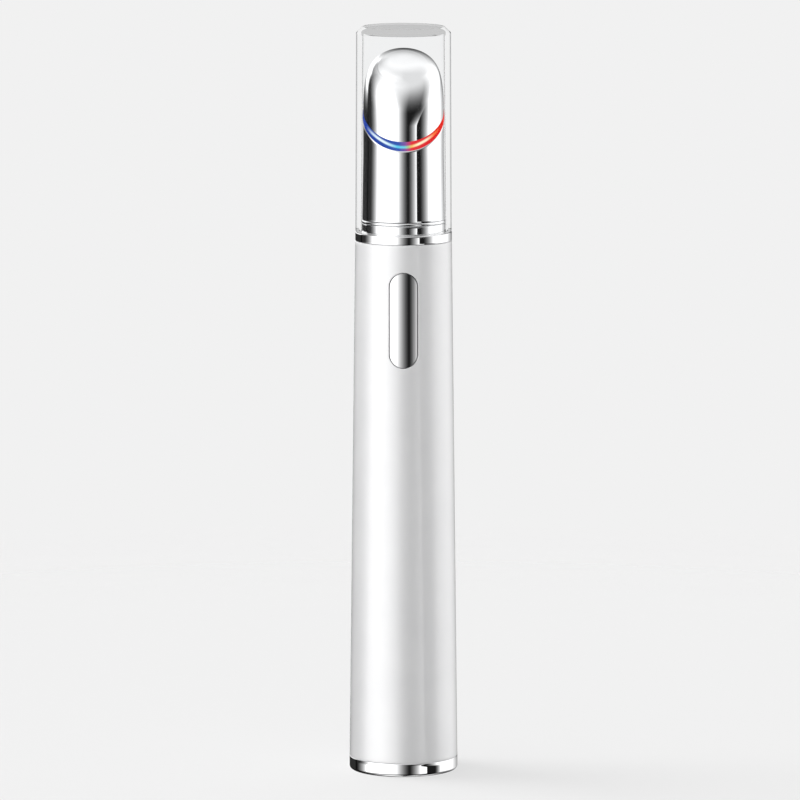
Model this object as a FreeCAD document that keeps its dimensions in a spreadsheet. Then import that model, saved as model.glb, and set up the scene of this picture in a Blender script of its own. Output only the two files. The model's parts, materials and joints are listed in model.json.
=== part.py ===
import FreeCAD, Part
import math
import os

import Sketcher
from FreeCAD import Matrix, Placement, Rotation, Vector

# A heated eye massager wand. The origin is the centre of its underside, +Z runs up the wand,
# and the button and the slanted massage face look along -Y. All sizes are in millimetres.

doc = FreeCAD.newDocument("eye_massager_wand")
sheet = doc.addObject("Spreadsheet::Sheet", "sizes")

driving_sizes = {
    # foot ring and the plate that closes it
    "base_height": 2.5,
    "base_step": 0.02,
    "base_edge_round": 0.6,
    "base_seam_round": 0.15,
    "base_spigot_height": 5.5,
    "base_spigot_wall": 1.066,
    "base_rim": 1.65,
    "plate_thickness": 1.6,
    "plate_recess": 0.4,
    "seal_thickness": 0.6,
    "seal_rise": 3.0,
    # barrel
    "barrel_length": 95.7,
    "barrel_foot_radius": 9.98,
    "barrel_top_radius": 8.87,
    "barrel_wall": 1.3,
    # collar and the bead on its neck
    "flange_height": 1.7,
    "flange_edge_round": 0.2,
    "neck_height": 1.6,
    "neck_step": 0.06,
    "skirt_length": 3.9,
    "bead_height": 0.65,
    "bead_step": 0.11,
    "bead_round": 0.26,
    # head tube
    "head_inset": 0.2,
    "head_wall": 1.05,
    "tube_spigot_length": 7.0,
    "tube_spigot_wall": 0.9,
    "sleeve_ledge": 0.3,
    "sleeve_rise": 0.5,
    # light ring, which rises towards the back by ring_slant
    "ring_rise": 19.4,
    "ring_slant": 0.73,
    "ring_height": 1.73,
    "ring_bulge": 0.12,
    "ring_lip_height": 0.6,
    "ring_lip_wall": 0.6,
    # massage head, whose dome rises towards the back by face_slant
    "face_rise": 1.02,
    "face_slant": 0.5,
    "face_height": 8.585,
    "face_side_pull": 1.0,
    "face_top_pull": 0.772,
    # cap
    "cap_headroom": 5.045,
    "cap_top_thickness": 1.3,
    "cap_inset": 0.07,
    "cap_wall": 0.99,
    "cap_draft": 0.15,
    "cap_bevel": 1.13,
    "cap_clearance": 0.15,
    "cap_seat_gap": 0.05,
    "cap_corner_round": 0.3,
    # button
    "button_drop": 13.74,
    "button_width": 5.0,
    "button_length": 17.3,
    "button_gap": 0.15,
    "button_travel": 0.4,
    "button_lip_width": 0.6,
    "button_lip_thickness": 1.3,
    "button_lip_gap": 0.12,
    "button_stem_radius": 1.5,
    # bracket that guides the button's stem
    "bracket_width": 8.4,
    "bracket_height": 9.0,
    "bracket_plate": 0.6,
    "bracket_leg": 0.8,
    "bracket_stop_gap": 0.2,
    # tactile switch
    "switch_width": 4.5,
    "switch_height": 1.7,
    "plunger_radius": 1.0,
    "plunger_reach": 0.67,
    "plunger_root": 0.73,
    "plunger_gap": 0.08,
    # charging receptacle
    "usb_width": 8.94,
    "usb_thickness": 3.26,
    "usb_length": 7.35,
    "usb_wall": 0.3,
    "usb_opening_gap": 0.15,
    "tongue_width": 6.2,
    "tongue_thickness": 0.7,
    "tongue_recess": 1.0,
    "contact_width": 0.25,
    "contact_thickness": 0.06,
    "contact_length": 3.6,
    "contact_pitch": 0.5,
    "contact_count": 12,
    # frame
    "frame_gap": 0.22,
    "frame_wall": 0.95,
    "ledge_lap": 1.0,
    "ledge_depth": 1.2,
    "bulkhead_height": 5.0,
    "bulkhead_gap": 0.5,
    "switch_backing": 11.25,
    "switch_backing_top": 2.25,
    # main board
    "board_width": 11.4,
    "board_thickness": 1.0,
    "board_foot_gap": 0.3,
    "board_top_gap": 3.3,
    # screws
    "screw_radius": 0.8,
    "screw_length": 3.6,
    "screw_head_radius": 1.3,
    "screw_head_height": 0.8,
    "switch_screw_drop": 6.5,
    # battery
    "battery_radius": 3.9,
    "battery_length": 40.0,
    "battery_pad_thickness": 0.3,
    "battery_pad_width": 2.4,
    "battery_pad_margin": 2.0,
    "battery_gap": 0.08,
    "tab_thickness": 0.2,
    "tab_width": 3.0,
    "tab_reach": 2.0,
    "cell_end_gap": 0.4,
    # parts on the board, each with its height up the board from a bulkhead or the battery
    "charge_chip_side": 4.0,
    "charge_chip_depth": 0.9,
    "charge_chip_rise": 6.0,
    "boost_inductor_side": 4.0,
    "boost_inductor_depth": 1.8,
    "boost_inductor_rise": 14.0,
    "control_chip_side": 5.0,
    "control_chip_depth": 1.0,
    "control_chip_rise": 26.0,
    "heater_driver_side": 3.0,
    "heater_driver_depth": 0.9,
    "heater_driver_rise": 52.0,
    "passive_length": 1.6,
    "passive_width": 0.8,
    "passive_depth": 0.6,
    "passive_column": 3.9,
    "passive_rise": 8.0,
    "passive_pitch": 5.0,
    "passive_rows": 6,
    # vibration motor
    "motor_radius": 3.0,
    "motor_length": 9.6,
    "motor_can_wall": 0.3,
    "motor_nose_radius": 1.0,
    "motor_nose_height": 0.5,
    "endcap_thickness": 1.0,
    "bearing_depth": 0.6,
    "shaft_radius": 0.4,
    "shaft_overhang": 4.3,
    "bearing_gap": 0.05,
    "armature_gap": 0.4,
    "weight_radius": 2.4,
    "weight_height": 3.2,
    "weight_cut": 0.8,
    "weight_gap": 0.5,
    # rubber sleeve round the motor
    "sleeve_floor": 0.6,
    "sleeve_rim": 0.15,
    "sleeve_hole_radius": 1.8,
    "sleeve_slot_width": 2.2,
    "sleeve_slot_margin": 0.425,
    # holder, light board and lamps
    "holder_wall": 0.8,
    "holder_foot": 0.8,
    "led_board_thickness": 0.8,
    "led_length": 1.0,
    "led_width": 0.6,
    "led_height": 0.5,
    "led_inset": 0.75,
    "led_spread": 48.0,
    # heater
    "film_margin": 1.5,
    "film_thickness": 0.25,
    "cushion_margin": 1.45,
    "cushion_bore_radius": 2.0,
    "sensor_radius": 0.6,
    "sensor_lead_radius": 0.15,
    "sensor_lead_spacing": 0.6,
    # wires
    "wire_radius": 0.35,
    "motor_wire_spread": 0.8,
    "head_wire_spread": 0.5,
    "head_wire_start": 2.2,
    # clearances shared by all slip fits
    "fit_gap": 0.05,
    "slip_gap": 0.1,
}
for row, (alias, value) in enumerate(driving_sizes.items(), start=1):
    sheet.set("A%d" % row, str(value))
    sheet.setAlias("A%d" % row, alias)
doc.recompute()


def barrel_radius(rise):
    """Expression for the barrel's outer radius, a rise above its foot."""
    taper = "(sizes.barrel_foot_radius - sizes.barrel_top_radius) / sizes.barrel_length"
    return f"(sizes.barrel_foot_radius - {taper} * ({rise}))"


# Heights above the ground
PLATE_TOP = "(sizes.plate_recess + sizes.plate_thickness)"
BARREL_TOP = "(sizes.base_height + sizes.barrel_length)"
FLANGE_TOP = f"({BARREL_TOP} + sizes.flange_height)"
NECK_TOP = f"({FLANGE_TOP} + sizes.neck_height)"
TUBE_FOOT = f"({NECK_TOP} + sizes.bead_height)"
RING_LEVEL = f"({TUBE_FOOT} + sizes.ring_rise)"
FACE_LEVEL = f"({RING_LEVEL} + sizes.face_rise)"
CAP_CEILING = f"({FACE_LEVEL} + sizes.face_height + sizes.cap_headroom)"
BUTTON_RISE = "(sizes.barrel_length - sizes.button_drop)"
BUTTON_LEVEL = f"(sizes.base_height + {BUTTON_RISE})"
USB_TOP = "(sizes.plate_recess + sizes.usb_length)"
FRAME_TOP = f"({BARREL_TOP} - sizes.skirt_length)"
FRAME_LENGTH = f"({FRAME_TOP} - {PLATE_TOP})"
BOARD_FOOT = f"({PLATE_TOP} + sizes.board_foot_gap)"
BOARD_LENGTH = f"({FRAME_LENGTH} - sizes.board_foot_gap - sizes.board_top_gap)"
BOARD_TOP = f"({BOARD_FOOT} + {BOARD_LENGTH})"
LOW_BULKHEAD = f"({USB_TOP} + sizes.bulkhead_gap)"
BATTERY_FOOT = f"({LOW_BULKHEAD} + sizes.bulkhead_height + sizes.cell_end_gap)"
BATTERY_TOP = f"({BATTERY_FOOT} + sizes.battery_length)"
MID_BULKHEAD = f"({BATTERY_TOP} + sizes.cell_end_gap)"
SWITCH_BACKING = f"({BUTTON_LEVEL} + sizes.switch_backing_top - sizes.switch_backing)"
SLEEVE_FOOT = f"({TUBE_FOOT} + sizes.sleeve_rise)"
MOTOR_FOOT = f"({SLEEVE_FOOT} + sizes.sleeve_floor)"
SLEEVE_TOP = f"({MOTOR_FOOT} + sizes.motor_length + sizes.sleeve_rim)"

# Distances in front of the wand's axis
BOARD_BACK = "(sizes.usb_thickness / 2)"
BOARD_FRONT = f"({BOARD_BACK} + sizes.board_thickness)"
SWITCH_FRONT = f"({BOARD_FRONT} + sizes.switch_height)"
PLUNGER_TIP = f"({SWITCH_FRONT} + sizes.plunger_reach)"
LIP_FRONT = f"({barrel_radius(BUTTON_RISE)} - sizes.barrel_wall - sizes.button_lip_gap)"
BUTTON_BACK = f"({LIP_FRONT} - sizes.button_lip_thickness)"
BRACKET_FRONT = f"({BUTTON_BACK} - sizes.button_travel - sizes.bracket_stop_gap)"
BATTERY_AXIS = f"({BOARD_BACK} - sizes.battery_pad_thickness - sizes.battery_radius)"

# Radii that follow from the pieces around them
BASE_RADIUS = "(sizes.barrel_foot_radius + sizes.base_step)"
PLATE_BORE = f"({BASE_RADIUS} - sizes.base_rim)"
SPIGOT_TOP_BORE = f"({barrel_radius('sizes.base_spigot_height')} - sizes.barrel_wall)"
BASE_SPIGOT_RADIUS = f"({SPIGOT_TOP_BORE} - sizes.slip_gap)"
BASE_BORE = f"({BASE_SPIGOT_RADIUS} - sizes.base_spigot_wall)"
FRAME_FOOT_RADIUS = f"({BASE_BORE} - sizes.slip_gap)"
FRAME_TOP_RADIUS = "(sizes.barrel_top_radius - sizes.barrel_wall - sizes.frame_gap)"
SKIRT_RADIUS = "(sizes.barrel_top_radius - sizes.barrel_wall - sizes.slip_gap)"
CAP_RADIUS = "(sizes.barrel_top_radius - sizes.cap_inset)"
CAP_BORE = f"({CAP_RADIUS} - sizes.cap_wall)"
BEAD_RADIUS = f"({CAP_BORE} - sizes.cap_clearance)"
TUBE_FOOT_RADIUS = f"({BEAD_RADIUS} - sizes.bead_step)"
HEAD_RADIUS = f"({TUBE_FOOT_RADIUS} - sizes.head_inset)"
HEAD_BORE = f"({HEAD_RADIUS} - sizes.head_wall)"
SPIGOT_BORE = f"({HEAD_BORE} - sizes.sleeve_ledge)"
TUBE_SPIGOT_RADIUS = f"({SPIGOT_BORE} + sizes.tube_spigot_wall)"
COLLAR_BORE = f"({TUBE_SPIGOT_RADIUS} + sizes.fit_gap)"
LIP_RADIUS = f"({HEAD_BORE} - sizes.fit_gap)"
LIP_BORE = f"({LIP_RADIUS} - sizes.ring_lip_wall)"
LED_BOARD_RADIUS = f"({LIP_BORE} - sizes.slip_gap)"
HOLDER_BORE = f"({LED_BOARD_RADIUS} - sizes.holder_wall)"
CUSHION_RADIUS = f"({LED_BOARD_RADIUS} - sizes.cushion_margin)"
FILM_RADIUS = f"({HEAD_BORE} - sizes.film_margin)"
SHAFT_BORE = "(sizes.shaft_radius + sizes.bearing_gap)"

# The wires to the light board run midway between the motor and the holder
HEAD_WIRE_PLACE = f"((sizes.motor_radius + {HOLDER_BORE}) / 2)"

# Share of the shorter of two runs that a wire's bend takes up
BEND_SHARE = 0.45

# How closely an edge's radius and height match the ones asked for
EDGE_MATCH = 1e-5

nodes = []


def frame_radius(rise):
    """Expression for the inner frame's outer radius, a rise above its foot."""
    taper = f"({FRAME_FOOT_RADIUS} - {FRAME_TOP_RADIUS}) / {FRAME_LENGTH}"
    return f"({FRAME_FOOT_RADIUS} - {taper} * ({rise}))"


def number(expression):
    """Value of an expression of the sheet."""
    return float(sheet.evalExpression(expression))


def place(item, across="0", back="0", up="0"):
    """Bind an object's place to three expressions."""
    for axis, expression in zip("xyz", (across, back, up)):
        item.setExpression(f".Placement.Base.{axis}", expression)


def keep(item, label, across="0", back="0", up="0"):
    """Make an object one of the wand's sub-parts."""
    item.Label = label
    place(item, across, back, up)
    nodes.append(item)
    return item


def new_body(name):
    return doc.addObject("PartDesign::Body", name)


def new_sketch(body, name, plane, level="0"):
    """Empty sketch on an origin plane of the body, moved along the plane's normal."""
    sketch = body.newObject("Sketcher::SketchObject", name)
    support = [feature for feature in body.Origin.OriginFeatures if feature.Role == plane]
    sketch.AttachmentSupport = [(support[0], "")]
    sketch.MapMode = "FlatFace"
    sketch.setExpression(".AttachmentOffset.Base.z", level)
    return sketch


def bind(sketch, constraint, expression):
    """Add a constraint whose value is an expression."""
    index = sketch.addConstraint(constraint)
    sketch.setExpression(f"Constraints[{index}]", expression)


def pin_point(sketch, geometry, vertex, across, up):
    """Hold one point of a sketch at two expressions."""
    bind(sketch, Sketcher.Constraint("DistanceX", -1, 1, geometry, vertex, number(across)), across)
    bind(sketch, Sketcher.Constraint("DistanceY", -1, 1, geometry, vertex, number(up)), up)


def outline_sketch(body, name, plane, corners, level="0"):
    """Closed outline of straight lines through corners given as pairs of expressions."""
    sketch = new_sketch(body, name, plane, level)
    points = [Vector(number(across), number(up), 0) for across, up in corners]
    for start, end in zip(points, points[1:] + points[:1]):
        sketch.addGeometry(Part.LineSegment(start, end), False)
    for index, (across, up) in enumerate(corners):
        following = (index + 1) % len(corners)
        sketch.addConstraint(Sketcher.Constraint("Coincident", index, 2, following, 1))
        pin_point(sketch, index, 1, across, up)
    return sketch


def box_sketch(body, name, plane, left, right, low, high, level="0"):
    corners = [(left, low), (right, low), (right, high), (left, high)]
    return outline_sketch(body, name, plane, corners, level)


def circle_sketch(body, name, plane, radius, centres=(("0", "0"),), level="0"):
    """Circles of one radius, each about its own centre."""
    sketch = new_sketch(body, name, plane, level)
    for index, (across, up) in enumerate(centres):
        centre = Vector(number(across), number(up), 0)
        sketch.addGeometry(Part.Circle(centre, Vector(0, 0, 1), number(radius)), False)
        bind(sketch, Sketcher.Constraint("Radius", index, number(radius)), radius)
        pin_point(sketch, index, 3, across, up)
    return sketch


def pill_sketch(body, name, plane, width, length, centre="0", level="0", upright=True):
    """Outline with full round ends, as long as length, about a centre on the vertical axis."""
    sketch = new_sketch(body, name, plane, level)
    half = f"({width}) / 2"
    straight = f"(({length}) - ({width})) / 2"

    def spot(aside, along):
        if upright:
            return aside, f"({centre}) + {along}"
        return along, f"({centre}) - ({aside})"

    right = [spot(half, f"(-{straight})"), spot(half, straight)]
    left = [spot(f"-({half})", straight), spot(f"-({half})", f"(-{straight})")]
    ends = [spot("0", straight), spot("0", f"(-{straight})")]
    corners = right + left
    points = [Vector(number(across), number(up), 0) for across, up in corners]
    centres = [Vector(number(across), number(up), 0) for across, up in ends]
    radius = number(half)
    far = [centres[0] + (centres[0] - centres[1]).normalize() * radius,
           centres[1] + (centres[1] - centres[0]).normalize() * radius]
    sketch.addGeometry(Part.LineSegment(points[0], points[1]), False)
    sketch.addGeometry(Part.Arc(points[1], far[0], points[2]), False)
    sketch.addGeometry(Part.LineSegment(points[2], points[3]), False)
    sketch.addGeometry(Part.Arc(points[3], far[1], points[0]), False)
    sketch.addConstraint(Sketcher.Constraint("Coincident", 0, 2, 1, 1))
    sketch.addConstraint(Sketcher.Constraint("Coincident", 1, 2, 2, 1))
    sketch.addConstraint(Sketcher.Constraint("Coincident", 2, 2, 3, 1))
    sketch.addConstraint(Sketcher.Constraint("Coincident", 3, 2, 0, 1))
    pin_point(sketch, 0, 1, *corners[0])
    pin_point(sketch, 0, 2, *corners[1])
    pin_point(sketch, 2, 1, *corners[2])
    pin_point(sketch, 2, 2, *corners[3])
    along = 1 if upright else 0
    axis = "DistanceY" if upright else "DistanceX"
    for arc, end in ((1, ends[0]), (3, ends[1])):
        constraint = Sketcher.Constraint(axis, -1, 1, arc, 3, number(end[along]))
        bind(sketch, constraint, end[along])
    return sketch


def turn(body, name, sketch, kind="PartDesign::Revolution"):
    """Turn a sketch once round its vertical axis, adding or, as a Groove, cutting."""
    feature = body.newObject(kind, name)
    feature.Profile = sketch
    feature.ReferenceAxis = (sketch, ["V_Axis"])
    feature.Angle = 360


def extrude(body, name, sketch, length, kind="PartDesign::Pad", both_ways=False, back=False):
    """Pad or pocket a sketch. A pad grows along the sketch's normal, a pocket against it."""
    feature = body.newObject(kind, name)
    feature.Profile = sketch
    feature.setExpression("Length", length)
    feature.SideType = "Symmetric" if both_ways else "One side"
    feature.Reversed = back


def circles_at(feature, radius, height):
    """Names of a feature's circular edges of one radius at one height."""
    doc.recompute()
    found = []
    for index, edge in enumerate(feature.Shape.Edges, start=1):
        curve = edge.Curve
        if not isinstance(curve, Part.Circle):
            continue
        same_radius = abs(curve.Radius - number(radius)) < EDGE_MATCH
        if same_radius and abs(curve.Center.z - number(height)) < EDGE_MATCH:
            found.append(f"Edge{index}")
    return found


def round_off(body, name, places, radius, kind="PartDesign::Fillet", size="Radius"):
    """Fillet or chamfer a body's circular edges at pairs of radius and height."""
    feature = body.Tip
    edges = []
    for edge_radius, height in places:
        edges += circles_at(feature, edge_radius, height)
    rounded = body.newObject(kind, name)
    rounded.Base = (feature, edges)
    rounded.setExpression(size, radius)


def turned_body(name, corners):
    """Body turned from one outline of radius and height pairs."""
    body = new_body(name)
    sketch = outline_sketch(body, name + "_outline", "XZ_Plane", corners)
    turn(body, name + "_turn", sketch)
    return body


def block(label, size, across, back, up):
    """Rectangular sub-part or piece of one, from its size and its low corner."""
    box = doc.addObject("Part::Box", label)
    box.Label = label
    for side, expression in zip(("Length", "Width", "Height"), size):
        box.setExpression(side, expression)
    place(box, across, back, up)
    return box


def group(label, pieces):
    """Several like solids kept as one sub-part."""
    compound = doc.addObject("Part::Compound", label)
    compound.Links = pieces
    return keep(compound, label)


# ---- foot ----

def make_base_ring():
    body = turned_body("base_ring", [
        (PLATE_BORE, "0"),
        (BASE_RADIUS, "0"),
        (BASE_RADIUS, "sizes.base_height"),
        (BASE_SPIGOT_RADIUS, "sizes.base_height"),
        (BASE_SPIGOT_RADIUS, "sizes.base_height + sizes.base_spigot_height"),
        (BASE_BORE, "sizes.base_height + sizes.base_spigot_height"),
        (BASE_BORE, PLATE_TOP),
        (PLATE_BORE, PLATE_TOP),
    ])
    seat = "sizes.base_height + sizes.seal_rise"
    half = "(sizes.seal_thickness / 2 + sizes.fit_gap)"
    depth = f"({BASE_SPIGOT_RADIUS} - sizes.seal_thickness)"
    groove = box_sketch(body, "seal_groove_outline", "XZ_Plane", depth,
                        f"{BASE_SPIGOT_RADIUS} + sizes.seal_thickness",
                        f"{seat} - {half}", f"{seat} + {half}")
    turn(body, "seal_groove", groove, "PartDesign::Groove")
    round_off(body, "foot_round", [(BASE_RADIUS, "0")], "sizes.base_edge_round")
    round_off(body, "seam_round", [(BASE_RADIUS, "sizes.base_height")], "sizes.base_seam_round")
    keep(body, "base_ring")


def make_base_seal():
    """Ring of round section in the spigot's groove."""
    seal = doc.addObject("Part::Torus", "base_seal")
    seal.setExpression("Radius2", "sizes.seal_thickness / 2 - sizes.fit_gap / 2")
    seal.setExpression("Radius1", f"{BASE_SPIGOT_RADIUS} - sizes.seal_thickness / 2 + sizes.fit_gap")
    keep(seal, "base_seal", up="sizes.base_height + sizes.seal_rise")


def make_base_plate():
    body = new_body("base_plate")
    disc = circle_sketch(body, "plate_outline", "XY_Plane", f"{PLATE_BORE} - sizes.fit_gap")
    extrude(body, "plate_pad", disc, "sizes.plate_thickness")
    opening = pill_sketch(body, "port_outline", "XY_Plane",
                          "sizes.usb_thickness + 2 * sizes.usb_opening_gap",
                          "sizes.usb_width + 2 * sizes.usb_opening_gap", upright=False)
    extrude(body, "port_cut", opening, "sizes.plate_thickness", "PartDesign::Pocket", back=True)
    keep(body, "base_plate", up="sizes.plate_recess")


# ---- handle ----

def make_barrel():
    body = turned_body("barrel", [
        ("sizes.barrel_foot_radius - sizes.barrel_wall", "0"),
        ("sizes.barrel_foot_radius", "0"),
        ("sizes.barrel_top_radius", "sizes.barrel_length"),
        ("sizes.barrel_top_radius - sizes.barrel_wall", "sizes.barrel_length"),
    ])
    window = pill_sketch(body, "window_outline", "XZ_Plane",
                         "sizes.button_width + 2 * sizes.button_gap",
                         "sizes.button_length + 2 * sizes.button_gap", BUTTON_RISE)
    extrude(body, "window_cut", window, "sizes.barrel_foot_radius", "PartDesign::Pocket", back=True)
    keep(body, "barrel", up="sizes.base_height")


def make_collar():
    neck = f"({BEAD_RADIUS} - sizes.neck_step)"
    top = "sizes.flange_height + sizes.neck_height"
    body = turned_body("collar", [
        (COLLAR_BORE, "-sizes.skirt_length"),
        (SKIRT_RADIUS, "-sizes.skirt_length"),
        (SKIRT_RADIUS, "0"),
        ("sizes.barrel_top_radius", "0"),
        ("sizes.barrel_top_radius", "sizes.flange_height"),
        (neck, "sizes.flange_height"),
        (neck, top),
        (COLLAR_BORE, top),
    ])
    round_off(body, "flange_round",
              [("sizes.barrel_top_radius", "0"), ("sizes.barrel_top_radius", "sizes.flange_height")],
              "sizes.flange_edge_round")
    keep(body, "collar", up=BARREL_TOP)


def make_neck_bead():
    body = turned_body("neck_trim_ring", [
        (COLLAR_BORE, "0"),
        (BEAD_RADIUS, "0"),
        (BEAD_RADIUS, "sizes.bead_height"),
        (COLLAR_BORE, "sizes.bead_height"),
    ])
    round_off(body, "bead_round", [(BEAD_RADIUS, "0"), (BEAD_RADIUS, "sizes.bead_height")],
              "sizes.bead_round")
    keep(body, "neck_trim_ring", up=NECK_TOP)


def make_cap():
    """Clear cap: it stands on the flange and goes over the neck and the head."""
    top_bore = f"({HEAD_RADIUS} + sizes.cap_clearance)"
    top_radius = f"({CAP_RADIUS} - sizes.cap_draft)"
    foot = f"({FLANGE_TOP} + sizes.cap_seat_gap)"
    ceiling = f"({CAP_CEILING} - {foot})"
    top = f"({ceiling} + sizes.cap_top_thickness)"
    body = turned_body("clear_cap", [
        (CAP_BORE, "0"),
        (CAP_RADIUS, "0"),
        (top_radius, top),
        ("0", top),
        ("0", ceiling),
        (top_bore, ceiling),
    ])
    round_off(body, "top_bevel", [(top_radius, top)], "sizes.cap_bevel", "PartDesign::Chamfer",
              "Size")
    round_off(body, "corner_round", [(top_bore, ceiling)], "sizes.cap_corner_round")
    keep(body, "clear_cap", up=foot)


# ---- button and switch ----

def cone_cut(body, name, inset, reach):
    """Cut away all that lies further out than the barrel's cone less an inset."""
    far = "sizes.barrel_foot_radius * 2"
    low, high = (f"{barrel_radius(f'{BUTTON_RISE} {sign} {reach}')} - {inset}" for sign in "-+")
    outline = outline_sketch(body, name + "_outline", "XZ_Plane", [
        (low, f"-{reach}"), (far, f"-{reach}"), (far, reach), (high, reach)])
    return turn(body, name, outline, "PartDesign::Groove")


def make_button():
    """Pill flush with the barrel, with a lip behind the window's edge and a stem."""
    body = new_body("button")
    lip_length = "(sizes.button_length + 2 * sizes.button_lip_width)"
    lip = pill_sketch(body, "lip_outline", "XZ_Plane",
                      "sizes.button_width + 2 * sizes.button_lip_width", lip_length,
                      level=BUTTON_BACK)
    extrude(body, "lip_pad", lip, "sizes.barrel_foot_radius")
    cone_cut(body, "lip_cone", "(sizes.barrel_wall + sizes.button_lip_gap)", lip_length)
    face = pill_sketch(body, "face_outline", "XZ_Plane", "sizes.button_width",
                       "sizes.button_length", level=BUTTON_BACK)
    extrude(body, "face_pad", face, "sizes.barrel_foot_radius")
    cone_cut(body, "face_cone", "0", lip_length)
    stem = circle_sketch(body, "stem_outline", "XZ_Plane", "sizes.button_stem_radius",
                         level=BUTTON_BACK)
    extrude(body, "stem_pad", stem, f"{BUTTON_BACK} - {PLUNGER_TIP} - sizes.fit_gap", back=True)
    keep(body, "button", up=BUTTON_LEVEL)


def make_button_bracket():
    """Bridge on the board with a hole that guides the button's stem."""
    body = new_body("button_bracket")
    side = "sizes.bracket_width / 2"
    inner = f"({side} - sizes.bracket_leg)"
    under = f"-({BRACKET_FRONT} - sizes.bracket_plate)"
    bridge = outline_sketch(body, "bridge_outline", "XY_Plane", [
        (f"-({side})", f"-{BRACKET_FRONT}"),
        (side, f"-{BRACKET_FRONT}"),
        (side, f"-{BOARD_FRONT}"),
        (inner, f"-{BOARD_FRONT}"),
        (inner, under),
        (f"-{inner}", under),
        (f"-{inner}", f"-{BOARD_FRONT}"),
        (f"-({side})", f"-{BOARD_FRONT}"),
    ])
    extrude(body, "bridge_pad", bridge, "sizes.bracket_height", both_ways=True)
    hole = circle_sketch(body, "guide_outline", "XZ_Plane",
                         "sizes.button_stem_radius + sizes.slip_gap")
    extrude(body, "guide_cut", hole, "sizes.barrel_foot_radius", "PartDesign::Pocket", back=True)
    keep(body, "button_bracket", up=BUTTON_LEVEL)


def make_switch():
    """Tactile switch: a square case on the board with a bore for its plunger."""
    case = new_body("switch_body")
    half = "sizes.switch_width / 2"
    square = box_sketch(case, "case_outline", "XZ_Plane", f"-({half})", half, f"-({half})", half)
    extrude(case, "case_pad", square, "sizes.switch_height")
    bore = circle_sketch(case, "bore_outline", "XZ_Plane",
                         "sizes.plunger_radius + sizes.plunger_gap", level="sizes.switch_height")
    extrude(case, "bore_cut", bore, "sizes.plunger_root + sizes.button_travel + sizes.slip_gap",
            "PartDesign::Pocket")
    keep(case, "switch_body", back=f"-{BOARD_FRONT}", up=BUTTON_LEVEL)

    plunger = new_body("switch_plunger")
    disc = circle_sketch(plunger, "plunger_outline", "XZ_Plane", "sizes.plunger_radius")
    extrude(plunger, "plunger_pad", disc, "sizes.plunger_root + sizes.plunger_reach")
    keep(plunger, "switch_plunger", back=f"-({SWITCH_FRONT} - sizes.plunger_root)", up=BUTTON_LEVEL)


# ---- inside the handle ----

def screw_levels():
    """Heights of the three screws that hold the board."""
    middle = "sizes.bulkhead_height / 2"
    return [f"({LOW_BULKHEAD} + {middle})", f"({MID_BULKHEAD} + {middle})",
            f"({BUTTON_LEVEL} - sizes.switch_screw_drop)"]


def make_inner_frame():
    """Half-round frame with two ledges for the board and three bulkheads."""
    body = turned_body("inner_frame", [
        (f"{FRAME_FOOT_RADIUS} - sizes.frame_wall", "0"),
        (FRAME_FOOT_RADIUS, "0"),
        (FRAME_TOP_RADIUS, FRAME_LENGTH),
        (f"{FRAME_TOP_RADIUS} - sizes.frame_wall", FRAME_LENGTH),
    ])
    bulkheads = [("low", LOW_BULKHEAD, "sizes.bulkhead_height"),
                 ("mid", MID_BULKHEAD, "sizes.bulkhead_height"),
                 ("switch", SWITCH_BACKING, "sizes.switch_backing")]
    for name, foot, height in bulkheads:
        rise = f"({foot} - {PLATE_TOP})"
        disc = circle_sketch(body, name + "_bulkhead_outline", "XY_Plane",
                             f"{frame_radius(f'{rise} + {height} / 2')} - sizes.frame_wall / 2",
                             level=rise)
        extrude(body, name + "_bulkhead", disc, height)
    bay = circle_sketch(body, "bay_outline", "XY_Plane", "sizes.battery_radius + sizes.battery_gap",
                        [("0", f"-{BATTERY_AXIS}")],
                        f"{BATTERY_FOOT} - sizes.cell_end_gap - {PLATE_TOP}")
    extrude(body, "bay_cut", bay, "sizes.battery_length + 2 * sizes.cell_end_gap",
            "PartDesign::Pocket", back=True)
    reach = "2 * sizes.barrel_foot_radius"
    front = box_sketch(body, "front_outline", "XY_Plane", f"-{reach}", reach, f"-{reach}",
                       f"-{BOARD_BACK}")
    extrude(body, "front_cut", front, FRAME_LENGTH, "PartDesign::Pocket", back=True)
    ledge_edge = "(sizes.board_width / 2 - sizes.ledge_lap)"
    ledge_foot = f"({FRAME_FOOT_RADIUS} - sizes.frame_wall / 2)"
    ledge_top = f"({FRAME_TOP_RADIUS} - sizes.frame_wall / 2)"
    for name, sign in (("right", ""), ("left", "-")):
        ledge = outline_sketch(body, name + "_ledge_outline", "XZ_Plane", [
            (f"{sign}{ledge_edge}", "0"),
            (f"{sign}{ledge_foot}", "0"),
            (f"{sign}{ledge_top}", FRAME_LENGTH),
            (f"{sign}{ledge_edge}", FRAME_LENGTH),
        ], BOARD_BACK)
        extrude(body, name + "_ledge", ledge, "sizes.ledge_depth", back=True)
    holes = circle_sketch(body, "screw_hole_outline", "XZ_Plane", "sizes.screw_radius + sizes.fit_gap",
                          [("0", f"{level} - {PLATE_TOP}") for level in screw_levels()])
    depth = f"2 * ({BOARD_BACK} + sizes.screw_length)"
    extrude(body, "screw_holes", holes, depth, "PartDesign::Pocket", both_ways=True)
    keep(body, "inner_frame", up=PLATE_TOP)


def make_main_board():
    body = new_body("main_board")
    half = "sizes.board_width / 2"
    sheet_outline = box_sketch(body, "board_outline", "XZ_Plane", f"-({half})", half,
                               "0", BOARD_LENGTH)
    extrude(body, "board_pad", sheet_outline, "sizes.board_thickness")
    holes = circle_sketch(body, "board_hole_outline", "XZ_Plane", "sizes.screw_radius + sizes.slip_gap",
                          [("0", f"{level} - {BOARD_FOOT}") for level in screw_levels()])
    extrude(body, "board_holes", holes, "sizes.board_thickness", "PartDesign::Pocket", back=True)
    keep(body, "main_board", back=f"-{BOARD_BACK}", up=BOARD_FOOT)


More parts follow.
